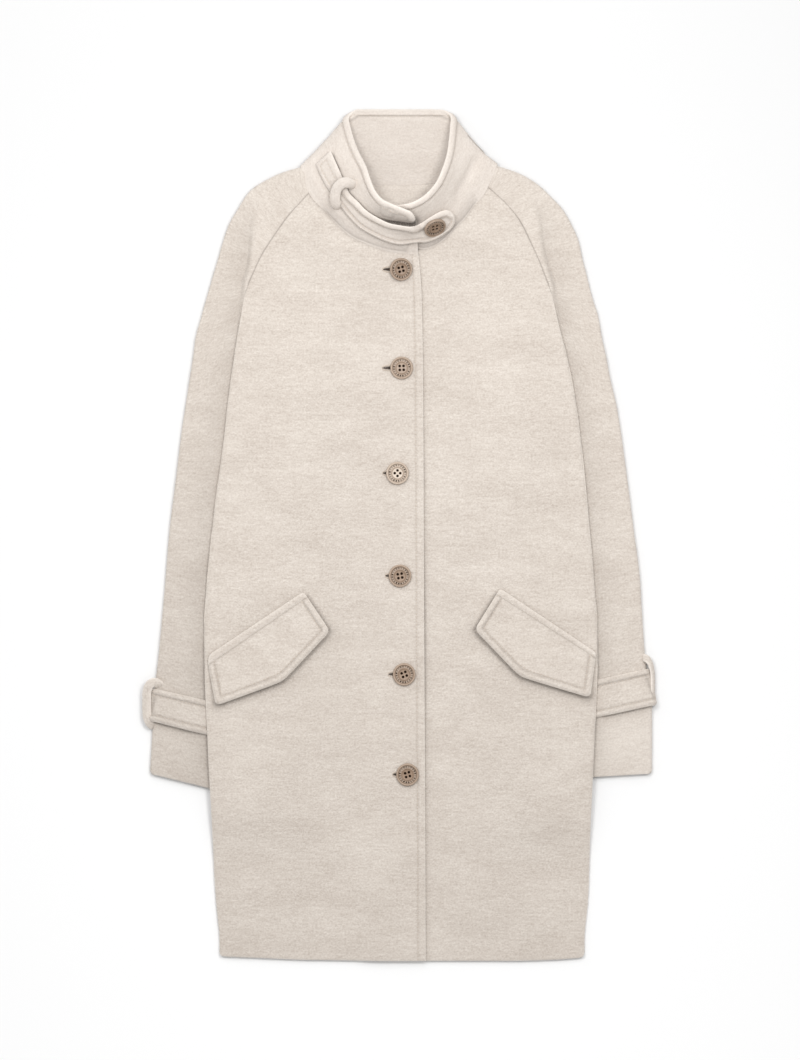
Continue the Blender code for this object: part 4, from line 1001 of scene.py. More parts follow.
# painted shade under the strap, in the nook, along the foot and inside at the back
under = 0.7 * bell((rise - look_up(UNDER_STRAP, place)) * full, 1.5)
under = under * smooth_step(place, 40, 60) * (1 - smooth_step(place, 144, 150))
nook = 0.5 * bell(place - NOOK[0], NOOK[2]) * bell((rise - NOOK[1]) * full, NOOK[2])
foot = (0.16 * (1 - smooth_step(rise, 0.02, 0.22)) + seam_shade(above_seam)) * in_front
foot = foot * (0.5 + 0.5 * smooth_step(place, FRONT_STITCH - 1, FRONT_STITCH + 1))
painted_inside_shade = 0.07 * at_back * smooth_step(top, COLLAR_STITCH, COLLAR_STITCH + 6)
sewn = SHADE * np.maximum(groove(top, COLLAR_STITCH), strip)
# painted shade in the grooves and in the gap below the tongue
shade = np.max([sewn, 0.75 * pressed, under, foot, painted_inside_shade, nook], axis=0)
grain = np.stack([-place, seam], axis=-1)
# painted highlight along the rim
edge = 1 - rounded(rim, COLLAR_ROUND)
add_shell("cloth_collar", surface, out, outside, inside, grain, pressed_and_lit_wool, shade, edge)
collar_outside = surface + out * outside[..., None]
collar_inside = surface - out * inside[..., None]

# %% [markdown]
# The throat strap follows the collar. Its table gives, for places along the collar, the shares of the
# collar's height where its two edges run and how far they stand off it. A cubic through four points
# across gives its curl.

# %% throat strap
COLLAR_STRAP = [
    # place, low_rise, high_rise, low_off, high_off
    (150, 0.255, 0.575, 0.4, 2.0), (132, 0.28, 0.605, 0.4, 3.4), (113, 0.262, 0.572, 0.3, 3.2),
    (97, 0.24, 0.53, 0.3, 1.6), (81, 0.225, 0.585, 0.6, 2.4), (66, 0.19, 0.615, 1.5, 4.0),
    (51, 0.145, 0.66, 1.6, 6.0), (33, 0.09, 0.675, 1.4, 8.5), (16, 0.085, 0.75, 1.4, 9.0),
    (2, 0.18, 0.81, 2.0, 8.0), (478, 0.08, 0.55, 2.5, 4.0), (467, 0.075, 0.585, 3.0, 3.4),
    (457, 0.05, 0.56, 2.4, 2.6), (451, 0.03, 0.52, 2.4, 2.6), (447.5, 0.045, 0.485, 2.6, 2.8),
    (444, 0.075, 0.44, 2.8, 3.0), (441.5, 0.13, 0.37, 3.0, 3.0), (440, 0.20, 0.30, 3.0, 3.0),
]
STRAP_WALL, STRAP_REST = 2.4, 0.8
ACROSS = np.array([0, 0.33, 0.67, 1])
STRAP_STITCH = 5.3
UPPER_ROLL = 1.75           # the roll along its upper edge is this much wider
COLLAR_LOOP = [
    # place, rise, off: the middle of the carrier loop, which shades the strap below it
    (99, 0.20, -4.5), (101, 0.215, 0.5), (106, 0.275, 5.0), (111, 0.385, 7.5), (112, 0.49, 9.0),
    (109.5, 0.575, 8.5), (105, 0.622, 5.5), (102, 0.638, 1.0), (101, 0.642, -5.0),
]


def off_collar(place, rise, off):
    """Points that stand off the collar's outside."""
    lay = COLLAR_WALL / 2 + STRAP_REST + STRAP_WALL / 2
    return collar_sheet(place, rise) + collar_out(place, rise) * (lay + off)[..., None]


def across_four(rows, share):
    """Cubic across each row: its four points times weights that are 1 at one point and 0 at the others."""
    total = np.zeros((*share.shape, 3))
    for k in range(4):
        others = np.delete(ACROSS, k)
        weight = np.prod((share[..., None] - others) / (ACROSS[k] - others), axis=-1)
        total += weight[..., None] * rows[:, k, None]
    return total


place, low_rise, high_rise, low_off, high_off = np.array(COLLAR_STRAP).T[..., None]
stations = off_collar(np.broadcast_to(place, (len(place), 4)), high_rise + (low_rise - high_rise) * ACROSS,
                      high_off + (low_off - high_off) * ACROSS)
strap_keys = lengths(stations.mean(axis=1))
strap_rim = sewn_rim(STRAP_STITCH)
stops = spaced([strap_keys[-1]], strap_rim, strap_rim, 84)[0]
lines = round_through(strap_keys, stations.reshape(len(place), -1), stops).reshape(-1, 4, 3)
width = np.linalg.norm(lines[:, -1] - lines[:, 0], axis=1)
share = spaced(width, sewn_rim(UPPER_ROLL * STRAP_STITCH), strap_rim, 6) / width[:, None]
surface = across_four(lines, share)
out = out_of(surface)
rim = np.minimum(distance_to(surface, surface[:, 0]) / UPPER_ROLL,
                 distance_to(surface, np.concatenate([surface[0], surface[:, -1], surface[-1, ::-1]])))
wall = rounded(rim, 3.0)
pulled = 0.35 + 0.65 * smooth_step(stops, 25, 55)[:, None]
above = (STRAP_WALL / 2 + 0.9 + pulled * stitched(rim, STRAP_STITCH, 1.3, 1.5)) * wall
grain = np.stack([np.broadcast_to(stops[:, None], share.shape), share * width[:, None]], axis=-1)
place, rise, off = np.array(COLLAR_LOOP).T
loop_line = off_collar(place, rise, off)
# painted shadow that the loop casts on the strap, beside the groove's painted shade
contact = 0.5 * bell(distance_to(surface, loop_line), 9)
add_shell("cloth_collar_strap", surface, out, above, STRAP_WALL / 2 * wall, grain, pressed_and_lit_wool,
          np.maximum(SHADE * pulled * groove(rim, STRAP_STITCH), contact))
strap_top = surface + out * above[..., None]

# %% [markdown]
# Carrier loops are strips of doubled cloth, sewn down at both ends and pushed over to one side by the
# strap. Each is a smooth line through a few points with a soft oval section, wider than it is thick.

# %% carrier loop on the collar
LOOP_RIM = SEAM_RIM[:5]


def add_loop(name, points, facing, width, above, below, material):
    """A band along a smooth line: places square across the line, its wall a half ellipse over its width."""
    keys = lengths(points)
    stops = spaced([keys[-1]], LOOP_RIM, LOOP_RIM, 56)[0]
    line = round_through(keys, points, stops)
    ahead = unit(np.gradient(line, stops, axis=0))
    across = unit(np.cross(ahead, smooth_through(keys, facing, stops)))
    out = np.cross(across, ahead)
    offset = spaced([width], LOOP_RIM, LOOP_RIM, 9)[0] - width / 2
    middle = line[:, None] + across[:, None] * offset[:, None]
    ends = np.minimum(stops, keys[-1] - stops)[:, None]
    wall = rounded(width / 2 - np.abs(offset), width / 2) * rounded(ends, 1.5)
    grain = np.stack(np.broadcast_arrays(stops[:, None], offset[None, :]), axis=-1)
    add_shell(name, middle, out[:, None], above * wall, below * wall, grain, material)


add_loop("cloth_collar_loop", loop_line, collar_out(place, rise), 12.5, 5.0, 3.4, pressed_and_lit_wool)

# %% [markdown]
# Each slanting pocket has a pointed flap of doubled cloth, turned out and topstitched round its three
# free sides. It lies on the front, follows its drape and stands off it towards its free edges.

# %% pocket flaps
FLAP_WALL, FLAP_GAP = 3.0, 0.8
FLAP_STITCH = 8.2
FLAP_LIFT = 6.5             # how far a flap's lower edge stands off the front
FLAP_SIDE_LIFT = 3.6        # and its inner side
FLAP_CORNER = 6.5           # radius of its corners
FLAP_BEND = 0.035           # how softly its lower edge bends at the point, as a share of its length
FLAP_SIZE = (145, 52)       # rough length and height of a flap


def on_front(plan):
    """Height of the fronts' outside at places away from the lap."""
    x, y = plan[..., 0], plan[..., 1]
    return front_height(x, y) + WALL / 2 + drape(x, y)


def flap_plan(corners, across, up):
    """Places of a flap: from its lower edge, softly bent at the point, straight up to the seam."""
    seam_out, outer, point, inner, seam_in = np.array(corners, float)
    first, second = np.linalg.norm(point - outer), np.linalg.norm(inner - point)
    bend = first / (first + second)
    past = 0.5 * (across - bend + np.sqrt((across - bend) ** 2 + FLAP_BEND**2))
    lower = (outer + (point - outer) * ((across - past) / bend)[..., None]
             + (inner - point) * (past / (1 - bend))[..., None])
    seam = seam_out + (seam_in - seam_out) * across[..., None]
    to_side = np.minimum(across, 1 - across) * FLAP_SIZE[0]
    cut = FLAP_CORNER * (1 - rounded(to_side, FLAP_CORNER)) / FLAP_SIZE[1]
    return lower + (seam - lower) * (up + (1 - up) * cut)[..., None]


def add_flap(side):
    """A flap's shell on its plan, with the points of its outside."""
    length, high = FLAP_SIZE
    flap_rim = sewn_rim(FLAP_STITCH)
    across = spaced([length], flap_rim, flap_rim, 36)[0] / length
    up = spaced([high], flap_rim, SEAM_RIM, 10)[0] / high
    up, across = np.meshgrid(up, across, indexing="ij")
    plan = flap_plan(POCKETS[side][0], across, up)
    free = distance_to(plan, np.concatenate([plan[::-1, 0], plan[0], plan[:, -1]]))
    seam = distance_to(plan, plan[-1])
    wall = rounded(free, 3.0) * rounded(seam, SEAM_ROUND)
    above = (FLAP_WALL / 2 + 0.5 + stitched(free, FLAP_STITCH, 1.2, 1.8)) * wall
    height = on_front(plan) + FLAP_GAP + FLAP_WALL / 2 + FLAP_LIFT * (1 - up) ** 1.5
    height = height + FLAP_SIDE_LIFT * bell((1 - across) * length, 14) * smooth_step(seam, 0, 9)
    # painted shade in the stitch groove and along the seam under the welt
    level_shell("cloth_pocket_flap_" + side, plan, height, above, FLAP_WALL / 2 * wall,
                np.maximum(SHADE * groove(free, FLAP_STITCH), 0.3 * bell(seam, 1.4)))
    return np.concatenate([plan, (height + above)[..., None]], axis=-1)


# %% [markdown]
# Above each flap's seam a narrow welt, a strip folded over and sewn down, swells like piping.

# %% pocket welts
WELT_SIZE = (140, 11)       # rough length and height of a welt
WELT_CORNER = 5.0           # radius of its upper corners
WELT_ROUND = 4.4
WELT_OVER_SEAM = 0.5        # how far it reaches over the flap's seam


def add_welt(side):
    """A welt's shell: straight from just over the flap's seam to its own upper edge."""
    corners, welt_edge = POCKETS[side]
    length, high = WELT_SIZE
    edge = np.array(welt_edge, float)
    seam = np.array([corners[0], corners[-1]], float)
    seam = seam - WELT_OVER_SEAM * unit(edge - seam)
    across = spaced([length], SEAM_RIM, SEAM_RIM, 30)[0] / length
    up = spaced([high], SEAM_RIM[:6], SEAM_RIM[:6], 6)[0] / high
    up, across = np.meshgrid(up, across, indexing="ij")
    lower, upper = (line[0] * (1 - across[..., None]) + line[1] * across[..., None] for line in (seam, edge))
    to_side = np.minimum(across, 1 - across) * length
    cut = WELT_CORNER * (1 - rounded(to_side, WELT_CORNER)) / high
    plan = lower + (upper - lower) * (up * (1 - cut))[..., None]
    wall = rounded(distance_to(plan, rim_of(plan)), WELT_ROUND)
    height = on_front(plan) + FLAP_GAP + WALL / 2
    level_shell("cloth_pocket_welt_" + side, plan, height, (WALL / 2 + 1.4) * wall, WALL / 2 * wall, 0 * wall)


flap_tops = {}
for side in POCKETS:
    flap_tops[side] = add_flap(side)
    add_welt(side)

# %% [markdown]
# A strap crosses each sleeve above its cuff and turns round the outer fold, where a carrier loop holds
# it. Both are laid out on the sleeve's own sections and stand off them by their walls.

# %% cuff straps and loops
CUFFS = {
    # strap's upper and lower edge on the outer fold, its extra painted shade, the loop's width
    "right": (-184.0, -223.0, 0.08, 11.0),
    "left": (-160.5, -204.0, 0.0, 9.5),
}
CUFF_LOOPS = {
    # x, y, z, facing_x, facing_z
    "right": [(-287, -182.5, 3.0, 0.0, 1.0), (-289.5, -178.5, 8.6, -0.1, 1.0),
              (-294.5, -176.5, 11.4, -0.15, 1.0), (-299.5, -179, 11.5, -0.2, 1.0),
              (-302.7, -186, 10.0, -0.25, 1.0), (-303.3, -198, 9.0, -0.25, 1.0),
              (-303.3, -211, 8.5, -0.25, 1.0), (-302.2, -220, 8.5, -0.2, 1.0), (-299, -226, 7.5, -0.2, 1.0),
              (-295.5, -228.5, 5.0, -0.2, 1.0)],
    "left": [(291, -147, 7.0, 0.3, 1.0), (295.5, -148.5, 8.5, 0.6, 0.8), (299, -153, 8.5, 0.8, 0.6),
             (301.5, -161, 7.0, 0.9, 0.45), (302.5, -174, 6.0, 0.9, 0.4), (302.5, -186, 6.0, 0.9, 0.4),
             (301.5, -195, 6.0, 0.9, 0.45), (299.5, -200, 5.0, 0.9, 0.45)],
}
CUFF_STITCH = 7.8
CUFF_LIFT = 5.0             # how far a cuff strap's lower edge stands off the sleeve
CUFF_LAY = WALL / 2 + GAP + STRAP_WALL / 2
CUFF_UPPER = np.linspace(0.42, 0.97, 40)                                    # shares of the way to the fold
CUFF_TURNS = np.concatenate([np.linspace(0, 96, 9), [103, 108, 111, 112]])  # degrees round it


def off_sleeve(data, heights, off):
    """Points that stand off a sleeve's outside, on the sections that meet its outer fold at some heights."""
    rows = smooth_through(-data[:, 3], data, -heights)
    upper = np.broadcast_to(CUFF_UPPER, (len(rows), len(CUFF_UPPER)))
    middle = sleeve_surface(rows, upper, CUFF_TURNS, np.zeros(0))
    out = out_of(middle)
    return middle + out * np.sign(out[:1, :1, 2:]) * off


def add_cuff(side):
    """A cuff's strap and loop, with the points of the strap's outside."""
    strap_high, strap_low, extra, loop_width = CUFFS[side]
    order = slice(None, None, 1 if side == "right" else -1)
    cuff_rim = sewn_rim(CUFF_STITCH)
    heights = strap_high - spaced([strap_high - strap_low], cuff_rim, cuff_rim, 6)[0]
    lift = CUFF_LIFT * ((strap_high - heights) / (strap_high - strap_low)) ** 1.5
    round_fold = np.clip(np.cos(np.radians(CUFF_TURNS)), 0, 1)
    stands = np.concatenate([smooth_step(CUFF_UPPER, 0.54, 0.72), round_fold])
    surface = off_sleeve(SLEEVES[side], heights, CUFF_LAY + (lift[:, None] * stands)[..., None])[order]
    rim = distance_to(surface, rim_of(surface))
    wall = rounded(rim, 2.8)
    girth = girths(surface)
    grain = np.stack([girth, np.broadcast_to(heights[order][:, None], girth.shape)], axis=-1)
    out = out_of(surface)
    above = (STRAP_WALL / 2 + 0.6 + stitched(rim, CUFF_STITCH, 1.1, 1.3)) * wall
    # painted shade in the stitch groove, plus the strap's extra painted shade
    add_shell("cloth_cuff_strap_" + side, surface, out, above, STRAP_WALL / 2 * wall, grain, wool,
              SHADE * groove(rim, CUFF_STITCH) + extra)
    loop = np.array(CUFF_LOOPS[side])
    facing = np.stack([loop[:, 3], 0 * loop[:, 3], loop[:, 4]], axis=-1)
    add_loop("cloth_cuff_loop_" + side, loop[:, :3], facing, loop_width, 2.8, 1.6, wool)
    return surface + out * above[..., None]


cuff_tops = {side: add_cuff(side) for side in CUFFS}

# %% [markdown]
# The buttons are turned from brown horn: a rounded rim, a milled ring inside it, and a dished centre with
# four holes. Horn is cloudy brown and half polished. The rim is painted paler, a painted highlight, the
# ring a little paler too, and some centres paler still, most the third's, a painted reflection; holes,
# notches and steps are painted nearly black, a painted shade where the horn is cut deep.

# %% horn
horn, tree, shader = new_material("brown horn, turned and half polished", {"Roughness": 0.38})
spot = add_node(tree, "TexCoord", {}, {}).outputs["Object"]
cloud = {"Vector": spot, "Scale": 160.0, "Detail": 3.0, "Distortion": 1.0}
amount = add_node(tree, "TexNoise", {}, cloud).outputs["Fac"]
tone = add_node(tree, "Mix", MIX, {0: amount, 6: linear("#A28A76"), 7: linear("#7B6552")}).outputs[2]
# painted highlight on the rim, a paler ring and painted reflection in some centres; painted shade in the cuts
for mark, colour in (("pale_and_highlight", "#D8CABB"), ("cut", "#22160F")):
    amount = add_node(tree, "Attribute", {"attribute_name": mark}, {}).outputs["Fac"]
    tone = add_node(tree, "Mix", MIX, {0: amount, 6: tone, 7: linear(colour)}).outputs[2]
gloss = add_node(tree, "MapRange", {}, {"Value": amount, "To Min": 0.4, "To Max": 0.02}).outputs["Result"]
tree.links.new(tone, shader.inputs["Base Color"])
tree.links.new(gloss, shader.inputs["Specular IOR Level"])
print("made:", horn.name)

# %% [markdown]
# One surface serves all seven buttons: rings of points round the axis, from the centre of the face out to
# the rim and back below to the centre. The ring's notches are cut unevenly, as a worn milling wheel
# leaves them.

# %% buttons
FACE_PROFILE = [
    # share of the radius, share of the height
    (0.0, 0.56), (0.43, 0.60), (0.49, 0.72), (0.53, 0.72), (0.57, 0.60), (0.77, 0.62), (0.82, 0.92),
    (0.90, 1.0), (0.965, 0.84), (0.995, 0.58), (1.0, 0.45),
]
UNDER_PROFILE = [(0.985, 0.30), (0.90, 0.10), (0.72, 0.0), (0.40, 0.0)]
HOLE_WIDTH, HOLE_PITCH, HOLE_DEPTH = 3.0, 4.7, 1.9
NOTCHES, NOTCH_DEPTH = 20, 0.5
RING = 0.68                 # share of the radius where the milled ring runs
ANGLES = 160


def button_surface(pale, turned):
    """Points of a button on the origin, ring by ring, with its painted highlight, reflection and shade.

    Pale is how much paler its centre is painted, a painted reflection, or how much darker the whole button if
    below 0.
    """
    share = np.concatenate([np.linspace(0.012, 0.8, 34), np.linspace(0.815, 0.93, 8),
                            [0.95, 0.97, 0.985, 0.995, 1.0]])
    under = np.array(UNDER_PROFILE)
    radius = np.concatenate([share, under[:, 0]])[:, None]
    height = np.concatenate([look_up(FACE_PROFILE, share), under[:, 1]])[:, None]
    face = (np.arange(len(radius)) < len(share))[:, None]
    angle = np.linspace(0, 2 * math.pi, ANGLES, endpoint=False)[None, :]
    x = radius * np.cos(angle) * BUTTON_WIDTH / 2
    y = radius * np.sin(angle) * BUTTON_WIDTH / 2
    across = x * math.cos(turned) + y * math.sin(turned)
    down = y * math.cos(turned) - x * math.sin(turned)
    hole = np.hypot(np.abs(across) - HOLE_PITCH / 2, np.abs(down) - HOLE_PITCH / 2)
    pit = face * (1 - smooth_step(hole, 0.42 * HOLE_WIDTH, 0.58 * HOLE_WIDTH))
    chance = np.random.default_rng(5)
    deep = np.repeat(chance.uniform(0.45, 1.0, NOTCHES), ANGLES // NOTCHES)[None, :]
    tooth = smooth_step(0.5 - 0.5 * np.cos(angle * NOTCHES), 0.12, 0.45)
    ring = face * np.exp(-((radius - RING) / 0.072) ** 4) * tooth * deep
    z = height * BUTTON_HEIGHT - HOLE_DEPTH * pit - NOTCH_DEPTH * ring
    # painted paler: a painted highlight on the rim, a paler ring and a painted reflection in the centre
    pale_and_highlight = 0.22 * smooth_step(radius, 0.80, 0.9) + 0.3 * np.exp(-((radius - RING) / 0.10) ** 4)
    pale_and_highlight = np.clip(face * (pale_and_highlight + max(pale, 0) * (1 - 0.6 * smooth_step(radius, 0.42, 0.5))), 0, 1)
    # painted shade at the two steps of the face
    painted_step_shade = face * (0.4 * bell(radius - 0.79, 0.022) + 0.3 * bell(radius - 0.50, 0.03))
    # painted shade in the holes, notches and at the steps, and darker all over where pale is below 0
    cut = np.clip(np.max(np.broadcast_arrays(pit, ring, painted_step_shade), axis=0) + max(-pale, 0), 0, 1)
    return np.stack([x, y, z], axis=-1), np.broadcast_to(pale_and_highlight, x.shape), cut


def add_button(name, centre, axis, pale, turned):
    """A button at a centre, its face along an axis, its holes turned by some degrees."""
    rings, pale_and_highlight, cut = button_surface(pale, math.radians(turned))
    count = len(rings)
    axis = unit(np.array(axis, float))
    side = unit(np.cross([0.0, 1.0, 0.0], axis))
    placed = rings @ np.stack([side, np.cross(axis, side), axis])
    ends = np.stack([axis * rings[0, :, 2].mean(), axis * 0])
    points = np.concatenate([placed.reshape(-1, 3), ends]) + np.array(centre, float)
    index = np.arange(count * ANGLES).reshape(count, ANGLES)
    index = np.concatenate([index, index[:, :1]], axis=1)
    squares = quads(index)[:, ::-1]
    top = np.stack([np.full(ANGLES, count * ANGLES), index[0, :-1], index[0, 1:]], axis=-1)
    base = np.stack([np.full(ANGLES, count * ANGLES + 1), index[-1, 1:], index[-1, :-1]], axis=-1)
    faces = np.concatenate([squares[:, [0, 1, 2]], squares[:, [0, 2, 3]], top, base])
    marks = {"pale_and_highlight": np.append(pale_and_highlight.ravel(), [pale_and_highlight[0, 0], 0]), "cut": np.append(cut.ravel(), [0, 0])}
    thing = add_mesh("turned_" + name, points, faces, horn, None, marks)
    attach(thing, "root")
    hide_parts(name)


PALE = (-0.06, 0.22, 0.8, 0.05, 0.05, 0.0)    # how much paler each button's centre is painted, a painted reflection, or how much darker the button
TURNED = (15, 2, 45, 10, 22, 15)              # degrees that its holes are turned
FOOT = 0.72 * 1.3 * BUTTON_WIDTH / 2          # reach of its flat underside, with some to spare
STRAP_BUTTON = (464.5, 0.385, 3.0)            # place, rise and stand-off of the button on the strap
STRAP_BUTTON_AXIS = (0.33, -0.70, 0.63)

for number, ((x, y, lean_x, lean_y), pale, turned) in enumerate(zip(BUTTONS, PALE, TURNED), 1):
    axis = (math.sin(math.radians(lean_x)), -math.sin(math.radians(lean_y)), 1)
    lean = math.radians(max(abs(lean_x), abs(lean_y)))
    front = float(right_front_height(np.array(float(x)), np.array(float(y))))
    base = front + WALL / 2 + GAP + FOOT * math.sin(lean)
    add_button(f"button_{number}", (x, y, base), axis, pale, turned)
axis = unit(np.array(STRAP_BUTTON_AXIS))
spot = off_collar(*np.array(STRAP_BUTTON)[:, None])[0]
add_button("collar_button", spot + axis * (STRAP_WALL / 2 + 2.2), axis, -0.14, 20)
print("buttons:", len(BUTTONS) + 1)

# %% [markdown]
# Edges are topstitched with a thick cotton thread, twisted from two strands, so that fine slanting bands
# of two tones show along it.

# %% thread
thread, tree, shader = new_material("cotton thread, twisted and mercerised", {"Roughness": 0.7})
spot = add_node(tree, "TexCoord", {}, {}).outputs["Object"]
bands = {"Vector": spot, "Scale": 900.0}
twist = add_node(tree, "TexWave", {"bands_direction": "DIAGONAL"}, bands).outputs["Fac"]
tone = add_node(tree, "Mix", MIX, {0: twist, 6: linear("#CFC3B6"), 7: linear("#BBAD9F")}).outputs[2]
tree.links.new(tone, shader.inputs["Base Color"])
print("made:", thread.name)

# %% [markdown]
# Each stitch is a small spindle that lies in the groove its row has pulled into the cloth and dips into
# the wool at both ends. The rows follow the grid lines that were laid along the grooves.

# %% stitches
STITCH_PITCH, STITCH_LENGTH, STITCH_RADIUS = 4.3, 3.2, 0.34
SIDES = 6
threads = {}                # rows of stitches on each piece of cloth


def stitch_marks(line, pitch):
    """Middles and ways of stitches at even steps along a line of points."""
    far = lengths(line)
    count = max(1, int(far[-1] / pitch))
    at = (np.arange(count) + 0.5) * far[-1] / count
    near = [np.stack([np.interp(at + step, far, line[:, k]) for k in range(3)], axis=-1)
            for step in (-0.5, 0, 0.5)]
    return near[1], unit(near[2] - near[0])


def add_stitches(name, node, middles, ways, length, radius):
    """Spindles: rings of six points at 0.3 of the length either way, a tip below the cloth at each end."""
    side = unit(np.cross(ways, UP + 1e-6))
    rise = np.cross(side, ways)
    turn = np.linspace(0, 2 * math.pi, SIDES, endpoint=False)
    ring = (np.cos(turn)[:, None] * side[:, None] + np.sin(turn)[:, None] * rise[:, None]) * radius
    middles = middles[:, None] + rise[:, None] * 0.3 * radius
    tips = [middles + ways[:, None] * length * share - rise[:, None] * 1.6 * radius for share in (-0.5, 0.5)]
    rings = [middles + ways[:, None] * length * share + ring for share in (-0.3, 0.3)]
    points = np.concatenate([tips[0], rings[0], rings[1], tips[1]], axis=1)
    k = np.arange(SIDES)
    after = (k + 1) % SIDES
    low, high, end = 1, 1 + SIDES, 1 + 2 * SIDES
    faces = np.concatenate([np.stack([0 * k, low + after, low + k], axis=-1),
                            np.stack([low + k, low + after, high + after], axis=-1),
                            np.stack([low + k, high + after, high + k], axis=-1),
                            np.stack([high + k, high + after, 0 * k + end], axis=-1)])
    faces = (faces + np.arange(len(points))[:, None, None] * points.shape[1]).reshape(-1, 3)
    thing = add_mesh(name, points.reshape(-1, 3), faces, thread)
    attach(thing, "root")
    threads.setdefault(node, []).append(thing)
    print(name, len(middles), "stitches")


def topstitch(node, *lines):
    """Stitches along several lines of one piece."""
    marks = [stitch_marks(line, STITCH_PITCH) for line in lines]
    middles, ways = (np.concatenate(part) for part in zip(*marks))
    add_stitches("thread_" + node, node, middles, ways, STITCH_LENGTH, STITCH_RADIUS)


n = STITCH_LINE
topstitch("front_right", right_front_top[:, -1 - n])
topstitch("collar", collar_outside[-1 - n, n:-n], collar_inside[-1 - n, n:-n])
topstitch("collar_strap", strap_top[n:-n, n], strap_top[n:-n, -1 - n], strap_top[n, n:-n])
for side, top in flap_tops.items():
    topstitch("pocket_flap_" + side, top[n:-2, n], top[n, n:-n], top[n:-2, -1 - n])
for side, top in cuff_tops.items():
    topstitch("cuff_strap_" + side, top[n, 2:-2], top[-1 - n, 2:-2])

# %% [markdown]
# Buttonholes are sewn round by hand or machine with short stitches, side by side and square to the slit.

# %% buttonhole stitches
HOLE_STITCH = (2.4, 0.36)       # length and radius
HOLE_PITCH_ALONG = 0.85         # from stitch to stitch
middles = []
for (button_x, button_y, _, _), reach in zip(BUTTONS, SLIT_REACH):
    x = np.arange(button_x - reach - 0.4, button_x - 10, HOLE_PITCH_ALONG)
    half = slit_half(x, button_x, reach) + 0.9
    for way in (-1, 1):
        y = button_y + way * half
        middles.append(np.stack([x, y, right_front_height(x, y) + WALL / 2 + drape(x, y)], axis=-1))
middles = np.concatenate(middles)
ways = np.broadcast_to(np.array([0.0, 1.0, 0.0]), middles.shape)
add_stitches("thread_buttonholes", "front_right", middles, ways, *HOLE_STITCH)

# %% [markdown]
# Milled and brushed wool is hairy: at every edge and roll loose fibres stand out and blur its line.
# Fibres are thin spikes set on the faces of the cloth, most of them where it turns away from the viewer
# above. Real ones are a fortieth of a millimetre thick; these are drawn thicker, and fewer, so that they
# show.

# %% nap
FIBRES = 26000
FIBRE_LENGTH = (1.2, 3.4)
FIBRE_RADIUS = 0.065
FIBRE_BEND = 0.55
FLAT_SHARE = 0.012          # how many grow on flat cloth, as a share of those on an upright edge


def add_nap(name, count):
    """Spikes with three sides: a foot in the cloth, a tip along the face's normal bent by chance."""
    chance = np.random.default_rng(23)
    corners = np.concatenate([points[faces] for _, points, faces, _ in shells.values()])
    maps = np.concatenate([grain[faces[:, 0]] for _, _, faces, grain in shells.values()])
    normal = np.cross(corners[:, 2] - corners[:, 0], corners[:, 3] - corners[:, 1])
    area = np.linalg.norm(normal, axis=1)
    normal = normal / np.maximum(area, 1e-9)[:, None]
    weight = area * (FLAT_SHARE + (1 - np.abs(normal[:, 2])) ** 2) * (normal[:, 2] > -0.3)
    chosen = chance.choice(len(area), count, p=weight / weight.sum())
    u, v = chance.uniform(0, 1, (2, count, 1))
    a, b, c, d = np.moveaxis(corners[chosen], 1, 0)
    foot = (a * (1 - u) + b * u) * (1 - v) + (d * (1 - u) + c * u) * v
    way = unit(normal[chosen] + chance.normal(0, FIBRE_BEND, (count, 3)))
    long = chance.uniform(*FIBRE_LENGTH, (count, 1))
    side = unit(np.cross(way, chance.normal(0, 1, (count, 3))))
    other = np.cross(way, side)
    turn = np.radians([0, 120, 240])
    ring = (np.cos(turn)[:, None] * side[:, None] + np.sin(turn)[:, None] * other[:, None]) * FIBRE_RADIUS
    points = np.concatenate([(foot - 0.3 * way)[:, None] + ring, (foot + way * long)[:, None]], axis=1)
    points[..., 2] = np.maximum(points[..., 2], 0.1)
    faces = np.array([(0, 1, 3), (1, 2, 3), (2, 0, 3), (0, 2, 1)])
    faces = (faces + 4 * np.arange(count)[:, None, None]).reshape(-1, 3)
    # the fibres get half the painted edge highlight and no painted shade
    thing = add_mesh(name, points.reshape(-1, 3), faces, wool, np.repeat(maps[chosen], 4, axis=0),
                     {"slit_and_painted_shade": np.zeros(4 * count), "edge": np.full(4 * count, 0.5)})
    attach(thing, "root")
    print(name, len(faces), "triangles")


add_nap("wool_fibres", FIBRES)

# %% [markdown]
# For each cloth piece the flat size that it was cut to is worked out from its grain map, which is the
# pattern that a cutter would lay on the cloth. Nothing is stretched: the coat lies as it was put down.

# %% cuts of the cloth
LIES_ON = {
    "back": ["sleeve_right", "sleeve_left"], "front_left": ["back", "sleeve_left"],
    "front_right": ["back", "front_left", "sleeve_right"],
    "sleeve_right": ["floor"], "sleeve_left": ["floor"],
    "collar": ["back", "floor"], "collar_strap": ["collar"], "collar_loop": ["collar", "collar_strap"],
}
for side in ("right", "left"):
    LIES_ON["pocket_flap_" + side] = LIES_ON["pocket_welt_" + side] = ["front_" + side]
    LIES_ON["cuff_strap_" + side] = ["sleeve_" + side]
    LIES_ON["cuff_loop_" + side] = ["sleeve_" + side, "cuff_strap_" + side]
LEAST_CUT = 10              # no strip is cut narrower


def cut_size(grain):
    """Sides of the smallest rectangle round a pattern, tried at every degree of turn."""
    turn = np.radians(np.arange(90))
    ways = ((np.cos(turn), np.sin(turn)), (-np.sin(turn), np.cos(turn)))
    wide, long = (np.ptp(grain @ np.stack(way), axis=0) for way in ways)
    best = np.argmin(wide * long)
    return max(wide[best], LEAST_CUT) * MM, max(long[best], LEAST_CUT) * MM


for name, (thing, points, faces, grain) in shells.items():
    width, length = cut_size(grain)

# %% [markdown]
# The floor is a sheet of backdrop paper, wide enough to reach past every view. It is graduated: a little
# greyer towards the lamps, so that it comes out an even white in the picture and keeps the soft shadows
# round the coat.

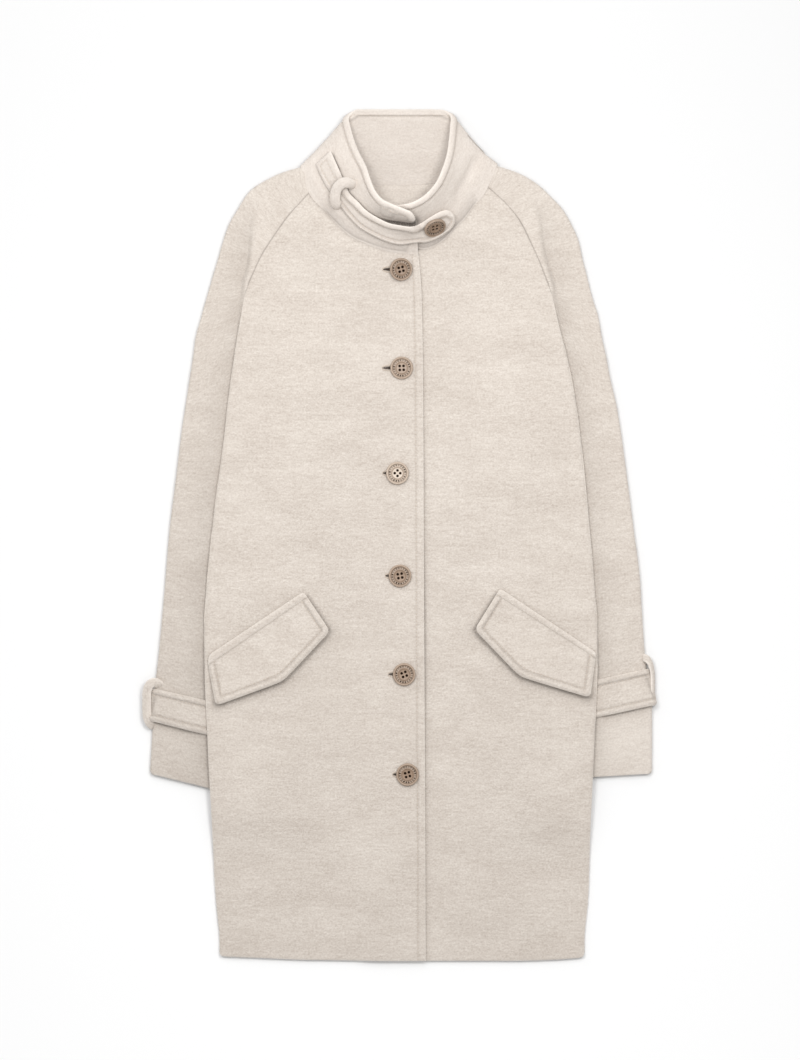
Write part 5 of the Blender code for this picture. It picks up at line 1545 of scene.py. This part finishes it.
# %% floor
FLOOR_HALF = 12.0
FLOOR_DROP = 0.0004         # how far it lies below the coat's lowest points
PAPER_END = 0.63            # half the length over which its tone changes

ends = np.linspace(-FLOOR_HALF, FLOOR_HALF, 3)
ground = np.stack([*np.meshgrid(ends, ends), np.full((3, 3), -FLOOR_DROP)], axis=-1) / MM
paper_finish = {"Roughness": 0.9, "Specular IOR Level": 0.1}
paper, tree, shader = new_material("graduated backdrop paper, matt", paper_finish)
spot = add_node(tree, "TexCoord", {}, {}).outputs["Object"]
fibre = add_node(tree, "TexNoise", {}, {"Vector": spot, "Scale": 300.0, "Detail": 2.0}).outputs["Fac"]
away = add_node(tree, "SeparateXYZ", {}, {"Vector": spot}).outputs["Y"]
ramp = {"Value": away, "From Min": PAPER_END, "From Max": -PAPER_END}
share = add_node(tree, "MapRange", {}, ramp).outputs["Result"]
share = add_node(tree, "Math", {"operation": "POWER"}, {0: share, 1: 1.5}).outputs[0]
tone = add_node(tree, "Mix", MIX, {0: share, 6: linear("#D7D7D7"), 7: linear("#F3F3F3")}).outputs[2]
grit = add_node(tree, "Bump", {}, {"Strength": 0.05, "Distance": 0.2 * MM, "Height": fibre}).outputs["Normal"]
tree.links.new(grit, shader.inputs["Normal"])
tree.links.new(tone, shader.inputs["Base Color"])
floor = add_mesh("floor", ground.reshape(-1, 3), quads(np.arange(9).reshape(3, 3)), paper)

# %% [markdown]
# Soft light comes from all round and from two large lamps beside the collar, the right one a little
# stronger. They are near enough that the chest gets more of their light than the hem. A third lamp beyond
# the collar throws the soft shadows below flaps and straps, and a weak one low on the left brings out the
# nap.

# %% light
LAMPS = [
    # name, place, size, watts
    ("key lamp", (-0.65, 0.5, 2.1), 0.6, 15), ("fill lamp", (0.65, 0.5, 2.1), 0.6, 18),
    ("top lamp", (0.0, 1.15, 1.7), 0.8, 8), ("low lamp", (-1.5, 0.9, 0.8), 0.8, 2),
]
AIM = np.array([0, 0.3, 0])
for name, place, size, watts in LAMPS:
    data = bpy.data.lights.new(name, "AREA")
    data.size = size
    data.energy = watts
    lamp = bpy.data.objects.new(name, data)
    lamp.location = place
    to_coat = AIM - np.array(place)
    lamp.rotation_euler = (math.acos(-to_coat[2] / np.linalg.norm(to_coat)), 0,
                           math.atan2(to_coat[1], to_coat[0]) - math.pi / 2)
    bpy.context.scene.collection.objects.link(lamp)
world = bpy.data.worlds.new("studio")
world.use_nodes = True
world.node_tree.nodes["Background"].inputs["Color"].default_value = (1, 1, 1, 1)
world.node_tree.nodes["Background"].inputs["Strength"].default_value = 0.60
bpy.context.scene.world = world
print("lamps:", len(LAMPS))

# %% [markdown]
# Last, the view layer is brought up to date.

# %% finish
bpy.context.view_layer.update()
